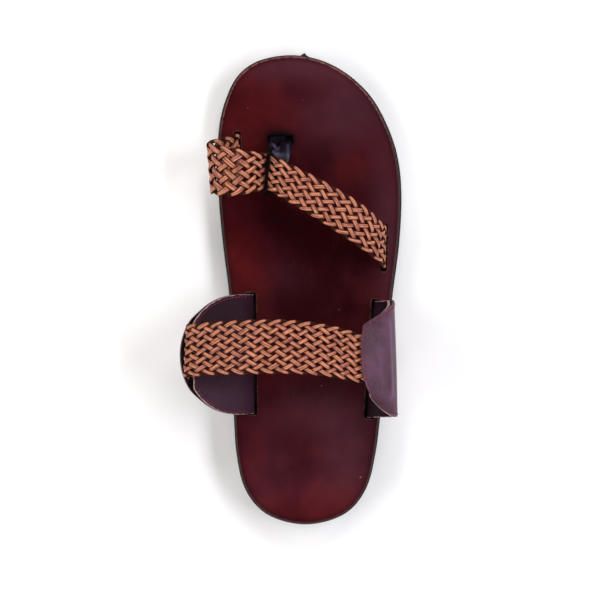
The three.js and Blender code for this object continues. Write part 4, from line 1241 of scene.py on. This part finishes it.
# %% Pieces on the frame
DRESSED = [
    (outsole, "rubber", "outsole", "outsole_rubber"),
    (footbed, "footbed", "footbed", "footbed_leather"),
    (medial_lining, "lining", "ear_medial_lining", "lining_leather"),
    (medial_outer, "outer", "ear_medial_outer", "ear_leather"),
    (lateral_lining, "lining", "ear_lateral_lining", "lining_leather"),
    (lateral_outer, "outer", "ear_lateral_outer", "ear_leather"),
    (instep_braid, "strand", "instep_braid", "braid_leather"),
    (toe_braid, "strand", "toe_braid", "braid_leather"),
    (thong, "thong", "toe_thong", "thong_leather"),
]
for piece, finish, node, slot in DRESSED:
    piece.data.materials.clear()
    piece.data.materials.append(finishes[finish])
    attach(piece, "root")
    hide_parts(node)
for piece in (lateral_stitches, medial_stitches, medial_back_stitches):
    piece.data.materials.append(finishes["thread"])
    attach(piece, "root")
print("pieces dressed:", len(DRESSED) + 3)

# %% [markdown]
# The studio is a wide white floor with large soft lights on all sides and none straight above, so
# that the level, glossy footbed mirrors a dark ceiling and keeps its deep colour. The camera looks
# straight down, as in the photograph.

# %% Floor, lights and camera
FLOOR_HALF = 3.0
CAMERA_HEIGHT = 1.0
CAMERA_X = -0.00317
CAMERA_Y = 0.08751
LENS = 102.97
WORLD_LEVEL = 0.05
# Place, size across and up, power and colour of each lamp.
LIGHTS = {
    "soft_right": ((0.7, 0.1, 0.72), (1.0, 0.3), 7.4, (0.95, 0.95, 1.0)),
    "soft_left": ((-0.75, 0.05, 0.6), (1.0, 0.4), 5.6, (1.0, 0.97, 0.94)),
    "soft_toe": ((0.1, 0.95, 0.75), (0.9, 0.4), 6.6, (1.0, 0.98, 0.97)),
    "soft_heel": ((-0.1, -0.8, 0.7), (0.9, 0.4), 4.6, (1.0, 0.98, 0.97)),
}


def make_floor():
    """A wide level sheet just under the tread."""
    share = np.linspace(-FLOOR_HALF, FLOOR_HALF, 9) / MM
    x, y = np.meshgrid(share, share)
    floor = make_piece("studio_floor", np.stack([x, y, 0 * x], axis=-1), grid_faces(9, 9))
    dull = {"Roughness": 0.9, "Specular IOR Level": 0.1}
    material, tree, shader, coords = new_finish("white_floor", **dull)
    paper = blend(tree, noise(tree, coords["Object"], 30.0), (0.94, 0.94, 0.94, 1), (0.96, 0.96, 0.96, 1))
    tree.links.new(paper, shader.inputs["Base Color"])
    floor.data.materials.append(material)


def aim(thing, target):
    """Turns an object so that its own -Z points at the target."""
    way = Vector(target) - thing.location
    thing.rotation_euler = way.to_track_quat("-Z", "Y").to_euler()


def make_lights():
    """Large rectangular lamps, each turned to the middle of the slipper."""
    for name, (place, size, power, colour) in LIGHTS.items():
        lamp = bpy.data.lights.new(name, "AREA")
        lamp.shape, lamp.size, lamp.size_y = "RECTANGLE", *size
        lamp.energy, lamp.color = power, colour
        holder = bpy.data.objects.new(name, lamp)
        bpy.context.scene.collection.objects.link(holder)
        holder.location = place
        aim(holder, (0, 0.09, 0.02))


def make_world():
    """A dim even surround."""
    world = bpy.data.worlds.new("studio")
    world.use_nodes = True
    backdrop = world.node_tree.nodes["Background"]
    backdrop.inputs["Color"].default_value = (0.92, 0.92, 1.0, 1)
    backdrop.inputs["Strength"].default_value = WORLD_LEVEL
    bpy.context.scene.world = world


def make_camera():
    """A long lens straight above."""
    data = bpy.data.cameras.new("camera")
    data.lens, data.sensor_width = LENS, 36
    camera = bpy.data.objects.new("camera", data)
    bpy.context.scene.collection.objects.link(camera)
    camera.location = (CAMERA_X, CAMERA_Y, CAMERA_HEIGHT)
    bpy.context.scene.camera = camera


make_floor()
make_lights()
make_world()
make_camera()
bpy.context.scene.view_settings.view_transform = "Standard"
